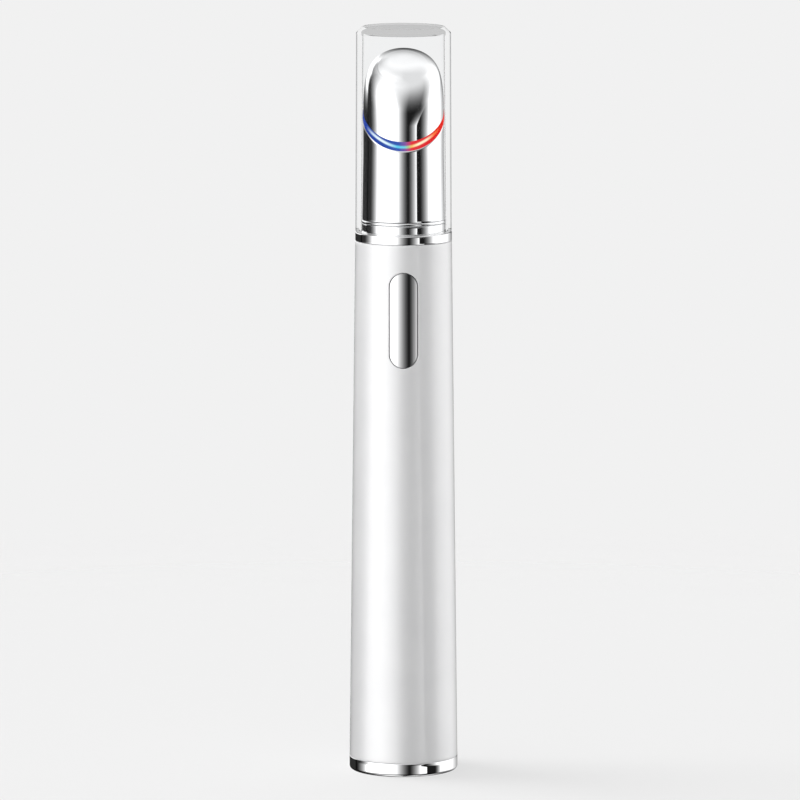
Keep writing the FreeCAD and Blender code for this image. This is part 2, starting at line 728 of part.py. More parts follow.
def make_board_screws():
    screws = []
    for index, level in enumerate(screw_levels(), start=1):
        body = new_body(f"board_screw_{index}")
        head = circle_sketch(body, f"head_outline_{index}", "XZ_Plane", "sizes.screw_head_radius")
        extrude(body, f"head_pad_{index}", head, "sizes.screw_head_height")
        shank = circle_sketch(body, f"shank_outline_{index}", "XZ_Plane", "sizes.screw_radius")
        extrude(body, f"shank_pad_{index}", shank, "sizes.screw_length", back=True)
        place(body, back=f"-{BOARD_FRONT}", up=level)
        screws.append(body)
    group("board_screws", screws)


def make_charging_port():
    """Metal shell, open at the foot, with a tongue that carries two rows of contacts."""
    shell = new_body("usb_shell")
    outside = pill_sketch(shell, "shell_outline", "XY_Plane", "sizes.usb_thickness",
                          "sizes.usb_width", upright=False)
    extrude(shell, "shell_pad", outside, "sizes.usb_length")
    inside = pill_sketch(shell, "mouth_outline", "XY_Plane",
                         "sizes.usb_thickness - 2 * sizes.usb_wall",
                         "sizes.usb_width - 2 * sizes.usb_wall", upright=False)
    extrude(shell, "mouth_cut", inside, "sizes.usb_length - sizes.usb_wall",
            "PartDesign::Pocket", back=True)
    keep(shell, "usb_shell", up="sizes.plate_recess")

    tongue_foot = "(sizes.plate_recess + sizes.tongue_recess)"
    tongue_length = "(sizes.usb_length - sizes.usb_wall - sizes.tongue_recess)"
    tongue = block("usb_tongue", ("sizes.tongue_width", "sizes.tongue_thickness", tongue_length),
                   "0", "0", "0")
    keep(tongue, "usb_tongue", "-sizes.tongue_width / 2", "-sizes.tongue_thickness / 2", tongue_foot)

    contacts = []
    rows = {"front": "-(sizes.tongue_thickness / 2 + sizes.contact_thickness)",
            "back": "sizes.tongue_thickness / 2"}
    count = int(number("sizes.contact_count"))
    for side, back in rows.items():
        for index in range(count):
            across = f"({index} - (sizes.contact_count - 1) / 2) * sizes.contact_pitch"
            size = ("sizes.contact_width", "sizes.contact_thickness", "sizes.contact_length")
            contacts.append(block(f"contact_{side}_{index}", size,
                                  f"{across} - sizes.contact_width / 2", back,
                                  f"{tongue_foot} + sizes.tongue_thickness"))
    group("usb_contacts", contacts)


def make_board_parts():
    """Chips, coil and small parts on the board's front face."""
    for label in ("charge_chip", "boost_inductor", "control_chip", "heater_driver"):
        side, depth = f"sizes.{label}_side", f"sizes.{label}_depth"
        chip = block(label, (side, depth, side), "0", "0", "0")
        keep(chip, label, f"-{side} / 2", f"-({BOARD_FRONT} + {depth})",
             f"{BATTERY_FOOT} + sizes.{label}_rise - {side} / 2")

    passives = []
    size = ("sizes.passive_width", "sizes.passive_depth", "sizes.passive_length")
    for row in range(int(number("sizes.passive_rows"))):
        level = f"{BATTERY_FOOT} + sizes.passive_rise + {row} * sizes.passive_pitch"
        for side, sign in (("left", "-"), ("right", "")):
            passives.append(block(f"passive_{side}_{row}", size,
                                  f"{sign}sizes.passive_column - sizes.passive_width / 2",
                                  f"-({BOARD_FRONT} + sizes.passive_depth)", level))
    group("chip_passives", passives)


def make_battery():
    cell = doc.addObject("Part::Cylinder", "battery")
    cell.setExpression("Radius", "sizes.battery_radius")
    cell.setExpression("Height", "sizes.battery_length")
    keep(cell, "battery", back=f"-{BATTERY_AXIS}", up=BATTERY_FOOT)

    pad_length = "(sizes.battery_length - 2 * sizes.battery_pad_margin)"
    pad = block("battery_pad", ("sizes.battery_pad_width", "sizes.battery_pad_thickness", pad_length),
                "0", "0", "0")
    keep(pad, "battery_pad", "-sizes.battery_pad_width / 2", f"-{BOARD_BACK}",
         f"{BATTERY_FOOT} + sizes.battery_pad_margin")

    tabs = []
    depth = f"{BOARD_BACK} - {BATTERY_AXIS} + sizes.tab_reach"
    for name, level in (("low", f"{BATTERY_FOOT} - sizes.tab_thickness"), ("high", BATTERY_TOP)):
        tabs.append(block(f"{name}_tab", ("sizes.tab_width", depth, "sizes.tab_thickness"),
                          "-sizes.tab_width / 2", f"-{BOARD_BACK}", level))
    group("battery_tabs", tabs)


# ---- head ----

def slant_cut(body, name, level):
    """Cut away all of a body above a plane that rises to the back as the light ring does."""
    reach = "sizes.barrel_foot_radius * 2"
    rise = f"sizes.ring_slant * {reach}"
    outline = outline_sketch(body, name + "_outline", "YZ_Plane", [
        (f"-{reach}", f"{level} - {rise}"),
        (reach, f"{level} + {rise}"),
        (reach, f"{level} + 2 * {rise}"),
        (f"-{reach}", f"{level} + 2 * {rise}"),
    ])
    extrude(body, name, outline, f"2 * {reach}", "PartDesign::Pocket", both_ways=True)


def make_head_tube():
    taper_end = f"(sizes.ring_rise - sizes.ring_slant * {HEAD_RADIUS} - sizes.ring_height)"
    high = f"(sizes.ring_rise + sizes.ring_slant * {HEAD_RADIUS})"
    body = turned_body("head_tube", [
        (SPIGOT_BORE, "-sizes.tube_spigot_length"),
        (TUBE_SPIGOT_RADIUS, "-sizes.tube_spigot_length"),
        (TUBE_SPIGOT_RADIUS, "0"),
        (TUBE_FOOT_RADIUS, "0"),
        (HEAD_RADIUS, taper_end),
        (HEAD_RADIUS, high),
        (HEAD_BORE, high),
        (HEAD_BORE, "sizes.sleeve_rise"),
        (SPIGOT_BORE, "sizes.sleeve_rise"),
    ])
    slant_cut(body, "ring_seat", "(sizes.ring_rise - sizes.ring_height / 2)")
    keep(body, "head_tube", up=TUBE_FOOT)


def lean_back(solid, slant):
    """The same solid with each point raised by slant for every millimetre of y."""
    lean = Matrix()
    lean.A32 = slant
    return solid.transformGeometry(lean)


def turn_edges(edges):
    """Solid turned about Z from a closed chain of edges in the XZ plane."""
    return Part.Face(Part.Wire(edges)).revolve(Vector(), Vector(0, 0, 1), 360)


def straight_edges(points):
    """Straight edges through points given as radius and height."""
    spots = [Vector(radius, 0, height) for radius, height in points]
    return [Part.makeLine(start, end) for start, end in zip(spots, spots[1:])]


def space_above(level, slant):
    """Solid that holds all above a plane which rises to the back."""
    reach = 4 * number("sizes.barrel_foot_radius")
    corners = [Vector(-reach, -reach, level - slant * reach),
               Vector(-reach, reach, level + slant * reach),
               Vector(-reach, reach, level + 3 * reach),
               Vector(-reach, -reach, level + 3 * reach)]
    outline = Part.makePolygon(corners + corners[:1])
    return Part.Face(outline).extrude(Vector(2 * reach, 0, 0))


def dome_solid(radius, height):
    """Round column under the head's dome, whose highest line leans back by face_slant."""
    foot = -2 * number(HEAD_RADIUS)
    side_pull = number("sizes.face_side_pull") * height
    top_pull = number("sizes.face_top_pull") * radius
    curve = Part.BezierCurve()
    curve.setPoles([Vector(radius, 0, 0), Vector(radius, 0, side_pull),
                    Vector(top_pull, 0, height), Vector(0, 0, height)])
    edges = straight_edges([(0, height), (0, foot), (radius, foot), (radius, 0)])
    dome = lean_back(turn_edges(edges + [curve.toShape()]), number("sizes.face_slant"))
    dome.translate(Vector(0, 0, number("sizes.face_rise")))
    return dome


def keep_shape(label, shape, level=RING_LEVEL):
    """Sub-part whose shape is worked out here, about the light ring's middle."""
    feature = doc.addObject("Part::Feature", label)
    feature.Shape = shape
    return keep(feature, label, up=level)


def make_light_ring():
    """Oblique light guide with a lip that goes into the tube and into the head."""
    outside = number(HEAD_RADIUS)
    half = number("sizes.ring_height") / 2
    lip = half + number("sizes.ring_lip_height")
    lip_radius, bore = number(LIP_RADIUS), number(LIP_BORE)
    inner = straight_edges([(outside, half), (lip_radius, half), (lip_radius, lip), (bore, lip),
                            (bore, -lip), (lip_radius, -lip), (lip_radius, -half), (outside, -half)])
    bulge = Part.Arc(Vector(outside, 0, -half), Vector(outside + number("sizes.ring_bulge"), 0, 0),
                     Vector(outside, 0, half))
    ring = turn_edges(inner + [bulge.toShape()])
    keep_shape("light_ring", lean_back(ring, number("sizes.ring_slant")))


def make_massage_head():
    """Hollow metal dome that stands on the light ring."""
    wall = number("sizes.head_wall")
    radius, height = number(HEAD_RADIUS), number("sizes.face_height")
    shell = dome_solid(radius, height).cut(dome_solid(radius - wall, height - wall))
    ring_top = space_above(number("sizes.ring_height") / 2, number("sizes.ring_slant"))
    keep_shape("massage_head", shell.common(ring_top))


def make_heater():
    """Film under the face, a soft cushion that holds it up, and a temperature sensor."""
    gap = number("sizes.fit_gap")
    radius = number(HEAD_BORE) - gap
    height = number("sizes.face_height") - number("sizes.head_wall") - gap
    film_thickness = number("sizes.film_thickness")
    top = 4 * number(HEAD_RADIUS)
    patch = Part.makeCylinder(number(FILM_RADIUS), top)
    below = dome_solid(radius - film_thickness, height - film_thickness)
    keep_shape("heater_film", dome_solid(radius, height).cut(below).common(patch))

    board_top = number("sizes.led_board_thickness") / 2
    foot = -top / 2
    column = Part.makeCylinder(number(CUSHION_RADIUS), top - foot, Vector(0, 0, foot))
    bore = Part.makeCylinder(number("sizes.cushion_bore_radius"), top - foot, Vector(0, 0, foot))
    on_board = space_above(board_top, number("sizes.ring_slant"))
    keep_shape("heater_cushion", below.common(column.cut(bore)).common(on_board))

    bead_radius = number("sizes.sensor_radius")
    lead_radius = number("sizes.sensor_lead_radius")
    lean = math.hypot(1, number("sizes.face_slant"))
    film_foot = number("sizes.face_rise") + height - film_thickness
    bead_level = film_foot - gap - bead_radius * lean
    sensor = Part.makeSphere(bead_radius, Vector(0, 0, bead_level))
    lead_foot = board_top + number("sizes.ring_slant") * lead_radius
    for side in (-1, 1):
        start = Vector(side * number("sizes.sensor_lead_spacing") / 2, 0, lead_foot)
        sensor = sensor.fuse(Part.makeCylinder(lead_radius, bead_level - lead_foot, start))
    keep_shape("thermistor", sensor)


def make_led_board():
    """Slanted round board inside the light ring, with lamps near both ends of its width."""
    half = number("sizes.led_board_thickness") / 2
    radius = number(LED_BOARD_RADIUS)
    disc = turn_edges(straight_edges([(0, -half), (radius, -half), (radius, half), (0, half),
                                      (0, -half)]))
    keep_shape("led_board", lean_back(disc, number("sizes.ring_slant")))

    lean = Rotation(Vector(1, 0, 0), math.degrees(math.atan(number("sizes.ring_slant"))))
    half_length = "sizes.led_length / 2 * cos(atan(sizes.ring_slant))"
    place_radius = f"({LED_BOARD_RADIUS} - sizes.led_inset)"
    size = ("sizes.led_width", "sizes.led_length", "sizes.led_height")
    for label, facing in (("blue_leds", 180), ("red_leds", 0)):
        lamps = []
        for step in (-1, 0, 1):
            angle = f"({facing} + {step} * sizes.led_spread)"
            edge = f"({place_radius} * sin({angle}) - {half_length})"
            level = f"{RING_LEVEL} + sizes.led_board_thickness / 2 + sizes.ring_slant * {edge}"
            lamp = block(f"{label}_{step + 2}", size,
                         f"{place_radius} * cos({angle}) - sizes.led_width / 2", edge, level)
            lamp.Placement = Placement(Vector(), lean)
            lamps.append(lamp)
        group(label, lamps)


# ---- vibration motor ----

def make_motor():
    inner = "(sizes.motor_radius - sizes.motor_can_wall)"
    ceiling = "(sizes.motor_length - sizes.motor_can_wall)"
    nose = "(sizes.motor_length + sizes.motor_nose_height)"
    case = turned_body("motor_case", [
        (inner, "0"),
        ("sizes.motor_radius", "0"),
        ("sizes.motor_radius", "sizes.motor_length"),
        ("sizes.motor_nose_radius", "sizes.motor_length"),
        ("sizes.motor_nose_radius", nose),
        (SHAFT_BORE, nose),
        (SHAFT_BORE, ceiling),
        (inner, ceiling),
    ])
    keep(case, "motor_case", up=MOTOR_FOOT)

    bearing_foot = "(sizes.endcap_thickness - sizes.bearing_depth)"
    endcap = turned_body("motor_endcap", [
        ("0", "0"),
        (f"{inner} - sizes.fit_gap", "0"),
        (f"{inner} - sizes.fit_gap", "sizes.endcap_thickness"),
        (SHAFT_BORE, "sizes.endcap_thickness"),
        (SHAFT_BORE, bearing_foot),
        ("0", bearing_foot),
    ])
    keep(endcap, "motor_endcap", up=MOTOR_FOOT)

    on_shaft = "sizes.shaft_radius + sizes.fit_gap"
    armature = turned_body("motor_armature", [
        (on_shaft, "sizes.endcap_thickness + sizes.armature_gap"),
        (f"{inner} - sizes.armature_gap", "sizes.endcap_thickness + sizes.armature_gap"),
        (f"{inner} - sizes.armature_gap", f"{ceiling} - sizes.armature_gap"),
        (on_shaft, f"{ceiling} - sizes.armature_gap"),
    ])
    keep(armature, "motor_armature", up=MOTOR_FOOT)

    shaft_foot = f"({bearing_foot} + sizes.fit_gap)"
    shaft = doc.addObject("Part::Cylinder", "motor_shaft")
    shaft.setExpression("Radius", "sizes.shaft_radius")
    shaft.setExpression("Height", f"sizes.motor_length + sizes.shaft_overhang - {shaft_foot}")
    keep(shaft, "motor_shaft", up=f"{MOTOR_FOOT} + {shaft_foot}")

    weight = new_body("eccentric_weight")
    disc = circle_sketch(weight, "weight_outline", "XY_Plane", "sizes.weight_radius")
    extrude(weight, "weight_pad", disc, "sizes.weight_height")
    hole = circle_sketch(weight, "weight_bore_outline", "XY_Plane", on_shaft)
    extrude(weight, "weight_bore", hole, "sizes.weight_height", "PartDesign::Pocket", back=True)
    light_side = box_sketch(weight, "light_side_outline", "XY_Plane", "-2 * sizes.weight_radius",
                            "2 * sizes.weight_radius", "sizes.weight_cut",
                            "2 * sizes.weight_radius")
    extrude(weight, "light_side_cut", light_side, "sizes.weight_height", "PartDesign::Pocket",
            back=True)
    keep(weight, "eccentric_weight", up=f"{MOTOR_FOOT} + {nose} + sizes.weight_gap")


def make_motor_sleeve():
    """Rubber cup that holds the motor in the tube, slotted for the wires to the head."""
    bore = "(sizes.motor_radius + sizes.fit_gap)"
    outside = f"({HEAD_BORE} - sizes.slip_gap)"
    top = f"({SLEEVE_TOP} - {SLEEVE_FOOT})"
    body = turned_body("motor_sleeve", [
        ("sizes.sleeve_hole_radius", "0"),
        (outside, "0"),
        (outside, top),
        (bore, top),
        (bore, "sizes.sleeve_floor"),
        ("sizes.sleeve_hole_radius", "sizes.sleeve_floor"),
    ])
    slot_end = f"{HEAD_WIRE_PLACE} + sizes.wire_radius + sizes.sleeve_slot_margin"
    slot = box_sketch(body, "slot_outline", "XY_Plane", "-sizes.sleeve_slot_width / 2",
                      "sizes.sleeve_slot_width / 2", "0", slot_end)
    extrude(body, "slot_cut", slot, top, "PartDesign::Pocket", back=True)
    keep(body, "motor_sleeve", up=SLEEVE_FOOT)


def make_head_frame():
    """Holder on the sleeve that carries the slanted light board."""
    board_foot = f"({RING_LEVEL} - sizes.led_board_thickness / 2 - {SLEEVE_TOP})"
    high = f"({board_foot} + sizes.ring_slant * {HEAD_RADIUS})"
    body = turned_body("head_frame", [
        (HOLDER_BORE, "0"),
        (f"{HEAD_BORE} - sizes.slip_gap", "0"),
        (f"{HEAD_BORE} - sizes.slip_gap", "sizes.holder_foot"),
        (LED_BOARD_RADIUS, "sizes.holder_foot"),
        (LED_BOARD_RADIUS, high),
        (HOLDER_BORE, high),
    ])
    slant_cut(body, "board_seat", board_foot)
    keep(body, "head_frame", up=SLEEVE_TOP)


# ---- wires ----

def bent_tube(points, radius):
    """Round wire along straight runs joined by arcs as large as the runs allow."""
    edges = []
    start = points[0]
    for before, corner, after in zip(points, points[1:], points[2:]):
        inward, onward = (before - corner), (after - corner)
        shorter = min(inward.Length, onward.Length)
        inward.normalize()
        onward.normalize()
        turn_angle = math.pi - inward.getAngle(onward)
        reach = BEND_SHARE * shorter
        bend = reach / math.tan(turn_angle / 2)
        middle = (inward + onward).normalize()
        centre = corner + middle * (bend / math.cos(turn_angle / 2))
        arc = Part.Arc(corner + inward * reach, centre - middle * bend, corner + onward * reach)
        edges += [Part.makeLine(start, corner + inward * reach), arc.toShape()]
        start = corner + onward * reach
    edges.append(Part.makeLine(start, points[-1]))
    section = Part.Wire(Part.makeCircle(radius, points[0], points[1] - points[0]))
    return Part.Wire(edges).makePipeShell([section], True, True)


def make_wires():
    """Two wires to the motor and two to the light board, soldered to the board's top end."""
    radius, gap = number("sizes.wire_radius"), number("sizes.fit_gap")
    solder = Vector(0, -number(BOARD_BACK) - number("sizes.board_thickness") / 2, number(BOARD_TOP))
    bend_level = number(FRAME_TOP)
    into_tube = number(TUBE_FOOT) - number("sizes.tube_spigot_length") / 2
    motor_foot = number(MOTOR_FOOT) - gap
    behind = number(HEAD_WIRE_PLACE)
    board_foot = number(RING_LEVEL) - number("sizes.led_board_thickness") / 2
    head_end = board_foot + number("sizes.ring_slant") * (behind - radius) - gap

    motor_wires, head_wires = [], []
    for side in (-1, 1):
        near = side * number("sizes.motor_wire_spread")
        motor_wires.append(bent_tube([
            solder + Vector(near, 0, 0),
            Vector(near, solder.y, bend_level),
            Vector(near, 0, into_tube),
            Vector(near, 0, motor_foot),
        ], radius))
        start, end = (side * number(f"sizes.head_wire_{name}") for name in ("start", "spread"))
        head_wires.append(bent_tube([
            solder + Vector(start, 0, 0),
            Vector(start, solder.y, bend_level),
            Vector(end, behind, into_tube),
            Vector(end, behind, head_end),
        ], radius))
    keep_shape("motor_wires", Part.makeCompound(motor_wires), "0")
    keep_shape("head_wires", Part.makeCompound(head_wires), "0")


make_base_ring()
make_base_seal()
make_base_plate()
make_barrel()
make_collar()
make_neck_bead()
make_cap()
make_button()
make_button_bracket()
make_switch()
make_inner_frame()
make_main_board()
make_board_screws()
make_charging_port()
make_board_parts()
make_battery()
make_head_tube()
make_light_ring()
make_massage_head()
make_heater()
make_led_board()
make_motor()
make_motor_sleeve()
make_head_frame()
make_wires()

doc.recompute()
os.makedirs("parts", exist_ok=True)
for item in doc.Objects:
    if "Invalid" in item.State or "Error" in item.State:
        raise RuntimeError(f"{item.Label} failed: {item.State}")
for item in nodes:
    shape = item.Shape
    if shape.isNull() or not shape.isValid():
        raise RuntimeError(f"{item.Label} has no valid shape")
    shape.exportStep(f"parts/{item.Label}.step")
    print(item.Label, len(shape.Solids), round(shape.Volume, 3), shape.BoundBox)
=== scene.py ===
import json
import math

import bmesh
import bpy
from mathutils import Matrix, Vector
from mathutils.geometry import interpolate_bezier


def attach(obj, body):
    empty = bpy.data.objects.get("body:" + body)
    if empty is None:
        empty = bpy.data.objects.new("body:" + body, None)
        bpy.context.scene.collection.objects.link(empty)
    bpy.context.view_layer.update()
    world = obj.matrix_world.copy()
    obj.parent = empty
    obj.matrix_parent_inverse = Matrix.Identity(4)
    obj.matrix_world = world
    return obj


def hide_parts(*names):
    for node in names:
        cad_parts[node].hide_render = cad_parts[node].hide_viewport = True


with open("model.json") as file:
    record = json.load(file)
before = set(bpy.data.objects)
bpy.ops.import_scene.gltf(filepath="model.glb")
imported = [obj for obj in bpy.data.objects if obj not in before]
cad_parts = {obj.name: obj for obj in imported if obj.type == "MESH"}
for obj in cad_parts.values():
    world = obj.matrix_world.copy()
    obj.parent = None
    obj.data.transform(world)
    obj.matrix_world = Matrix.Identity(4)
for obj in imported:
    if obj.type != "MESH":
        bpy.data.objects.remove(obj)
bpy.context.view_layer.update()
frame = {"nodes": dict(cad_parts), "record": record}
mm = 0.001         # every size below is in millimetres
weld = 0.0005      # points closer together than this become one
tolerance = 0.01   # how near to a level or a radius a point counts as lying on it
turnSteps = 256    # faces round each turned piece


class Signal:
    # One output socket of a node tree. Arithmetic on it adds Math nodes.
    def __init__(self, kit, socket):
        self.kit = kit
        self.socket = socket

    def math(self, operation, *others):
        values = dict(enumerate((self, *others)))
        return self.kit.add("Math", {"operation": operation}, values)

    def __add__(self, other):
        return self.math("ADD", other)

    def __sub__(self, other):
        return self.math("SUBTRACT", other)

    def __mul__(self, other):
        return self.math("MULTIPLY", other)

    def __truediv__(self, other):
        return self.math("DIVIDE", other)

    def __pow__(self, other):
        return self.math("POWER", other)

    def __lt__(self, other):
        return self.math("LESS_THAN", other)

    def __gt__(self, other):
        return self.math("GREATER_THAN", other)

    def __rsub__(self, other):
        return self.kit.add("Math", {"operation": "SUBTRACT"}, {0: other, 1: self})

    __radd__ = __add__
    __rmul__ = __mul__

    def size(self):
        return self.math("ABSOLUTE")

    def ramp(self, start, end, low=0.0, high=1.0, soft=False):
        # low up to start, high from end on, and a straight or eased run between
        settings = {"interpolation_type": "SMOOTHSTEP" if soft else "LINEAR", "clamp": True}
        return self.kit.add("MapRange", settings, {0: self, 1: start, 2: end, 3: low, 4: high})

    def fall(self, start, end):
        # 1 up to start, 0 from end on
        return self.ramp(start, end, 1.0, 0.0)

    def band(self, start, full, fade, end):
        # 1 between full and fade, 0 outside start and end
        return self.ramp(start, full) * self.fall(fade, end)


class NodeKit:
    # Writes the nodes of one material or world.
    def __init__(self, owner):
        owner.use_nodes = True
        self.tree = owner.node_tree
        self.tree.nodes.clear()

    def add(self, kind, settings=None, values=None, output=0):
        node = self.tree.nodes.new("ShaderNode" + kind)
        for key, value in (settings or {}).items():
            if key == "stops":
                self.setStops(node.color_ramp, value)
            else:
                setattr(node, key, value)
        for key, value in (values or {}).items():
            if isinstance(value, Signal):
                self.tree.links.new(value.socket, node.inputs[key])
            else:
                node.inputs[key].default_value = value
        return Signal(self, node.outputs[output]) if node.outputs else None

    def setStops(self, ramp, stops):
        while len(ramp.elements) < len(stops):
            ramp.elements.new(0.5)
        for element, (place, tone) in zip(ramp.elements, stops):
            element.position = place
            element.color = colour(*tone)

    def outlets(self, signal, names):
        # the named outputs of the node that a signal comes from
        outputs = signal.socket.node.outputs
        return [Signal(self, outputs[name]) for name in names]

    def axes(self, vector):
        return self.outlets(self.add("SeparateXYZ", None, {0: vector}), "XYZ")

    def mixColour(self, share, first, second):
        values = {0: share, 6: first, 7: second}
        return self.add("Mix", {"data_type": "RGBA"}, values, output=2)

    def place(self):
        return self.add("TexCoord", output="Object")

    def noise(self, grains, detail=3.0, stretch=(1, 1, 1)):
        # grains is how many grains there are on a millimetre
        stretched = self.add("Mapping", None, {0: self.place(), 3: stretch})
        values = {"Vector": stretched, "Scale": grains / mm, "Detail": detail}
        return self.add("TexNoise", None, values, output="Fac")

    def bump(self, height, depth):
        # depth is in millimetres
        return self.add("Bump", None, {"Height": height, "Distance": depth * mm, "Strength": 1.0})


def colour(red, green, blue):
    return (red, green, blue, 1)


def newFinish(name):
    material = bpy.data.materials.new(name)
    return material, NodeKit(material)


def closeFinish(kit, values):
    shader = kit.add("BsdfPrincipled", None, values)
    kit.add("OutputMaterial", None, {0: shader})


pearlSettings = {
    "tone": (0.93, 0.93, 0.935),
    "shade": (0.905, 0.905, 0.912),
    "cloudGrains": 0.12, "cloudsFrom": 0.35, "cloudsTo": 0.65,
    "metal": 0.5,
    "flakeGrains": 9.0, "roughness": 0.5, "roughnessSpread": 0.03,
    "coatRoughness": 0.02,
    "peelGrains": 0.9, "peelDepth": 0.0006,
}


def pearlLacquer():
    # white pearl base under a clear gloss coat, with a little orange peel
    s = pearlSettings
    material, kit = newFinish("pearlLacquer")
    flakes = kit.noise(s["flakeGrains"], 2.0)
    clouds = kit.noise(s["cloudGrains"]).ramp(s["cloudsFrom"], s["cloudsTo"])
    closeFinish(kit, {
        "Base Color": kit.mixColour(clouds, colour(*s["tone"]), colour(*s["shade"])),
        "Metallic": s["metal"],
        "Roughness": s["roughness"] + (flakes - 0.5) * s["roughnessSpread"],
        "Coat Weight": 1.0,
        "Coat Roughness": s["coatRoughness"],
        "Normal": kit.bump(kit.noise(s["peelGrains"], 2.0), s["peelDepth"]),
    })
    return material


chromeSettings = {
    "tone": (0.94, 0.942, 0.948),
    "wipeTone": (0.90, 0.902, 0.91),
    "wipeGrains": 0.25, "wipesFrom": 0.45, "wipesTo": 0.8, "wipeStretch": (1, 1, 0.35),
    "roughness": 0.02,
    "smudge": 0.035,    # how much rougher the wipe marks are
    "hairlineGrains": 6.0, "hairlineStretch": (1, 1, 0.04), "hairlineDepth": 0.00001,
}


def polishedChrome():
    # mirror plating with faint wipe marks
    s = chromeSettings
    material, kit = newFinish("polishedChrome")
    wipes = kit.noise(s["wipeGrains"], 4.0, s["wipeStretch"])
    wipes = wipes.ramp(s["wipesFrom"], s["wipesTo"], soft=True)
    hairlines = kit.noise(s["hairlineGrains"], 2.0, s["hairlineStretch"])
    closeFinish(kit, {
        "Base Color": kit.mixColour(wipes, colour(*s["tone"]), colour(*s["wipeTone"])),
        "Metallic": 1.0,
        "Roughness": s["roughness"] + wipes * s["smudge"],
        "Normal": kit.bump(hairlines, s["hairlineDepth"]),
    })
    return material


clearSettings = {
    "tint": (0.995, 0.998, 1.0),
    "paintedEdgeShade": (0.12, 0.123, 0.126),   # painted shade: deeper tone where one looks along the wall
    "edgeShadeFrom": 0.72, "edgeShadeTo": 0.90,
    "ior": 1.05,
    "flowGrains": 0.15, "flowStretch": (1, 1, 0.2), "flowDepth": 0.00005,
}


def clearAcrylic():
    # clear moulding with faint flow marks up its wall, and painted shade where one looks along its
    # wall
    s = clearSettings
    material, kit = newFinish("clearAcrylic")
    flow = kit.noise(s["flowGrains"], 1.0, s["flowStretch"])
    # painted shade: the tint turns dark where one looks along the wall, drawing the cap's outline
    edge = kit.add("LayerWeight", output="Facing").ramp(s["edgeShadeFrom"], s["edgeShadeTo"])
    upright = kit.axes(kit.add("NewGeometry", output="Normal"))[2].size()
    edge = edge * (1 - upright)   # painted shade on the wall only, not on the lid
    closeFinish(kit, {
        "Base Color": kit.mixColour(edge, colour(*s["tint"]), colour(*s["paintedEdgeShade"])),
        "Roughness": 0.0,
        "IOR": s["ior"],
        "Transmission Weight": 1.0,
        "Normal": kit.bump(flow, s["flowDepth"]),
    })
    return material


# the light ring's slanted plane, which tube, ring and dome share:
# its level on the axis, half the ring's height, and its rise for each step back
ringPlane = {"level": 121.55, "half": 0.865, "slant": 0.73}


guideSettings = {
    "reach": 7.4,       # half the width that the colours run over
    "rimStops": [
        (0.0, (0.015, 0.045, 0.30)), (0.44, (0.04, 0.10, 0.42)), (0.52, (0.22, 0.10, 0.35)),
        (0.60, (0.72, 0.04, 0.05)), (1.0, (0.72, 0.008, 0.006)),
    ],
    # painted highlight: the colours of the pale line along the ring's middle
    "highlightStops": [
        (0.05, (0.02, 0.06, 0.36)), (0.13, (0.60, 0.75, 0.90)), (0.19, (0.85, 0.97, 1.0)),
        (0.30, (0.74, 0.93, 1.0)), (0.42, (0.12, 0.62, 0.86)), (0.51, (0.16, 0.63, 0.80)),
        (0.555, (0.35, 0.65, 0.30)), (0.60, (0.92, 0.55, 0.14)), (0.68, (1.0, 0.93, 0.62)),
        (0.78, (1.0, 0.85, 0.62)), (0.865, (1.0, 0.22, 0.06)), (0.94, (0.75, 0.02, 0.01)),
    ],
    "highlightFrom": 0.04, "highlightTo": 0.46,
    # how far the painted highlight line rises, and between which shares of the reach
    "highlightLift": 0.42, "liftFrom": 0.05, "liftTo": 0.75,
    "bodyShade": 0.92,  # how much darker the ring is by itself than its glow
    "grains": 2.0, "roughness": 0.12, "roughnessSpread": 0.04, "ior": 1.05,
}


def glowingGuide():
    # milky ring lit from inside: deep glow colour along its rims, and a painted highlight as a pale
    # line between them
    s = guideSettings
    material, kit = newFinish("glowingGuide")
    across, back, up = kit.axes(kit.place())
    along = (across / mm).ramp(-s["reach"], s["reach"])
    rim = kit.add("ValToRGB", {"stops": s["rimStops"]}, {0: along})
    paintedHighlight = kit.add("ValToRGB", {"stops": s["highlightStops"]}, {0: along})
    lift = (across / (s["reach"] * mm)).size()
    lift = lift.ramp(s["liftFrom"], s["liftTo"], 0.0, s["highlightLift"], soft=True)
    height = up / mm - back / mm * ringPlane["slant"] - ringPlane["level"]
    height = height / ringPlane["half"] - lift
    # painted highlight: a pale line in the glow along the ring's middle, rising towards its ends
    highlightShare = height.size().ramp(s["highlightFrom"], s["highlightTo"], 1.0, 0.0, soft=True)
    glow = kit.mixColour(highlightShare, rim, paintedHighlight)
    closeFinish(kit, {
        "Base Color": kit.mixColour(s["bodyShade"], glow, colour(0, 0, 0)),
        "Roughness": s["roughness"] + kit.noise(s["grains"]) * s["roughnessSpread"],
        "IOR": s["ior"],
        "Emission Color": glow,
        "Emission Strength": 1.0,
    })
    return material


plasticSettings = {
    "mottleGrains": 0.3, "mottleShade": 0.88,   # clouds of a slightly deeper tone
    "dullGrains": 1.5, "dullSpread": 0.12,      # patches where it is glossier or duller
}


def mouldedPlastic(name, tone, roughness, grain=0.0015, pitch=3.0):
    # moulded part with a fine spark-eroded grain
    s = plasticSettings
    material, kit = newFinish(name)
    mottle = kit.noise(s["mottleGrains"]).ramp(0.3, 0.7)
    deeper = [part * s["mottleShade"] for part in tone]
    closeFinish(kit, {
        "Base Color": kit.mixColour(mottle, colour(*tone), colour(*deeper)),
        "Roughness": roughness + (kit.noise(s["dullGrains"]) - 0.5) * s["dullSpread"],
        "Normal": kit.bump(kit.noise(pitch, 2.0), grain),
    })
    return material


metalSettings = {"markShade": 0.8, "markSpread": 0.2, "markDepth": 0.001}


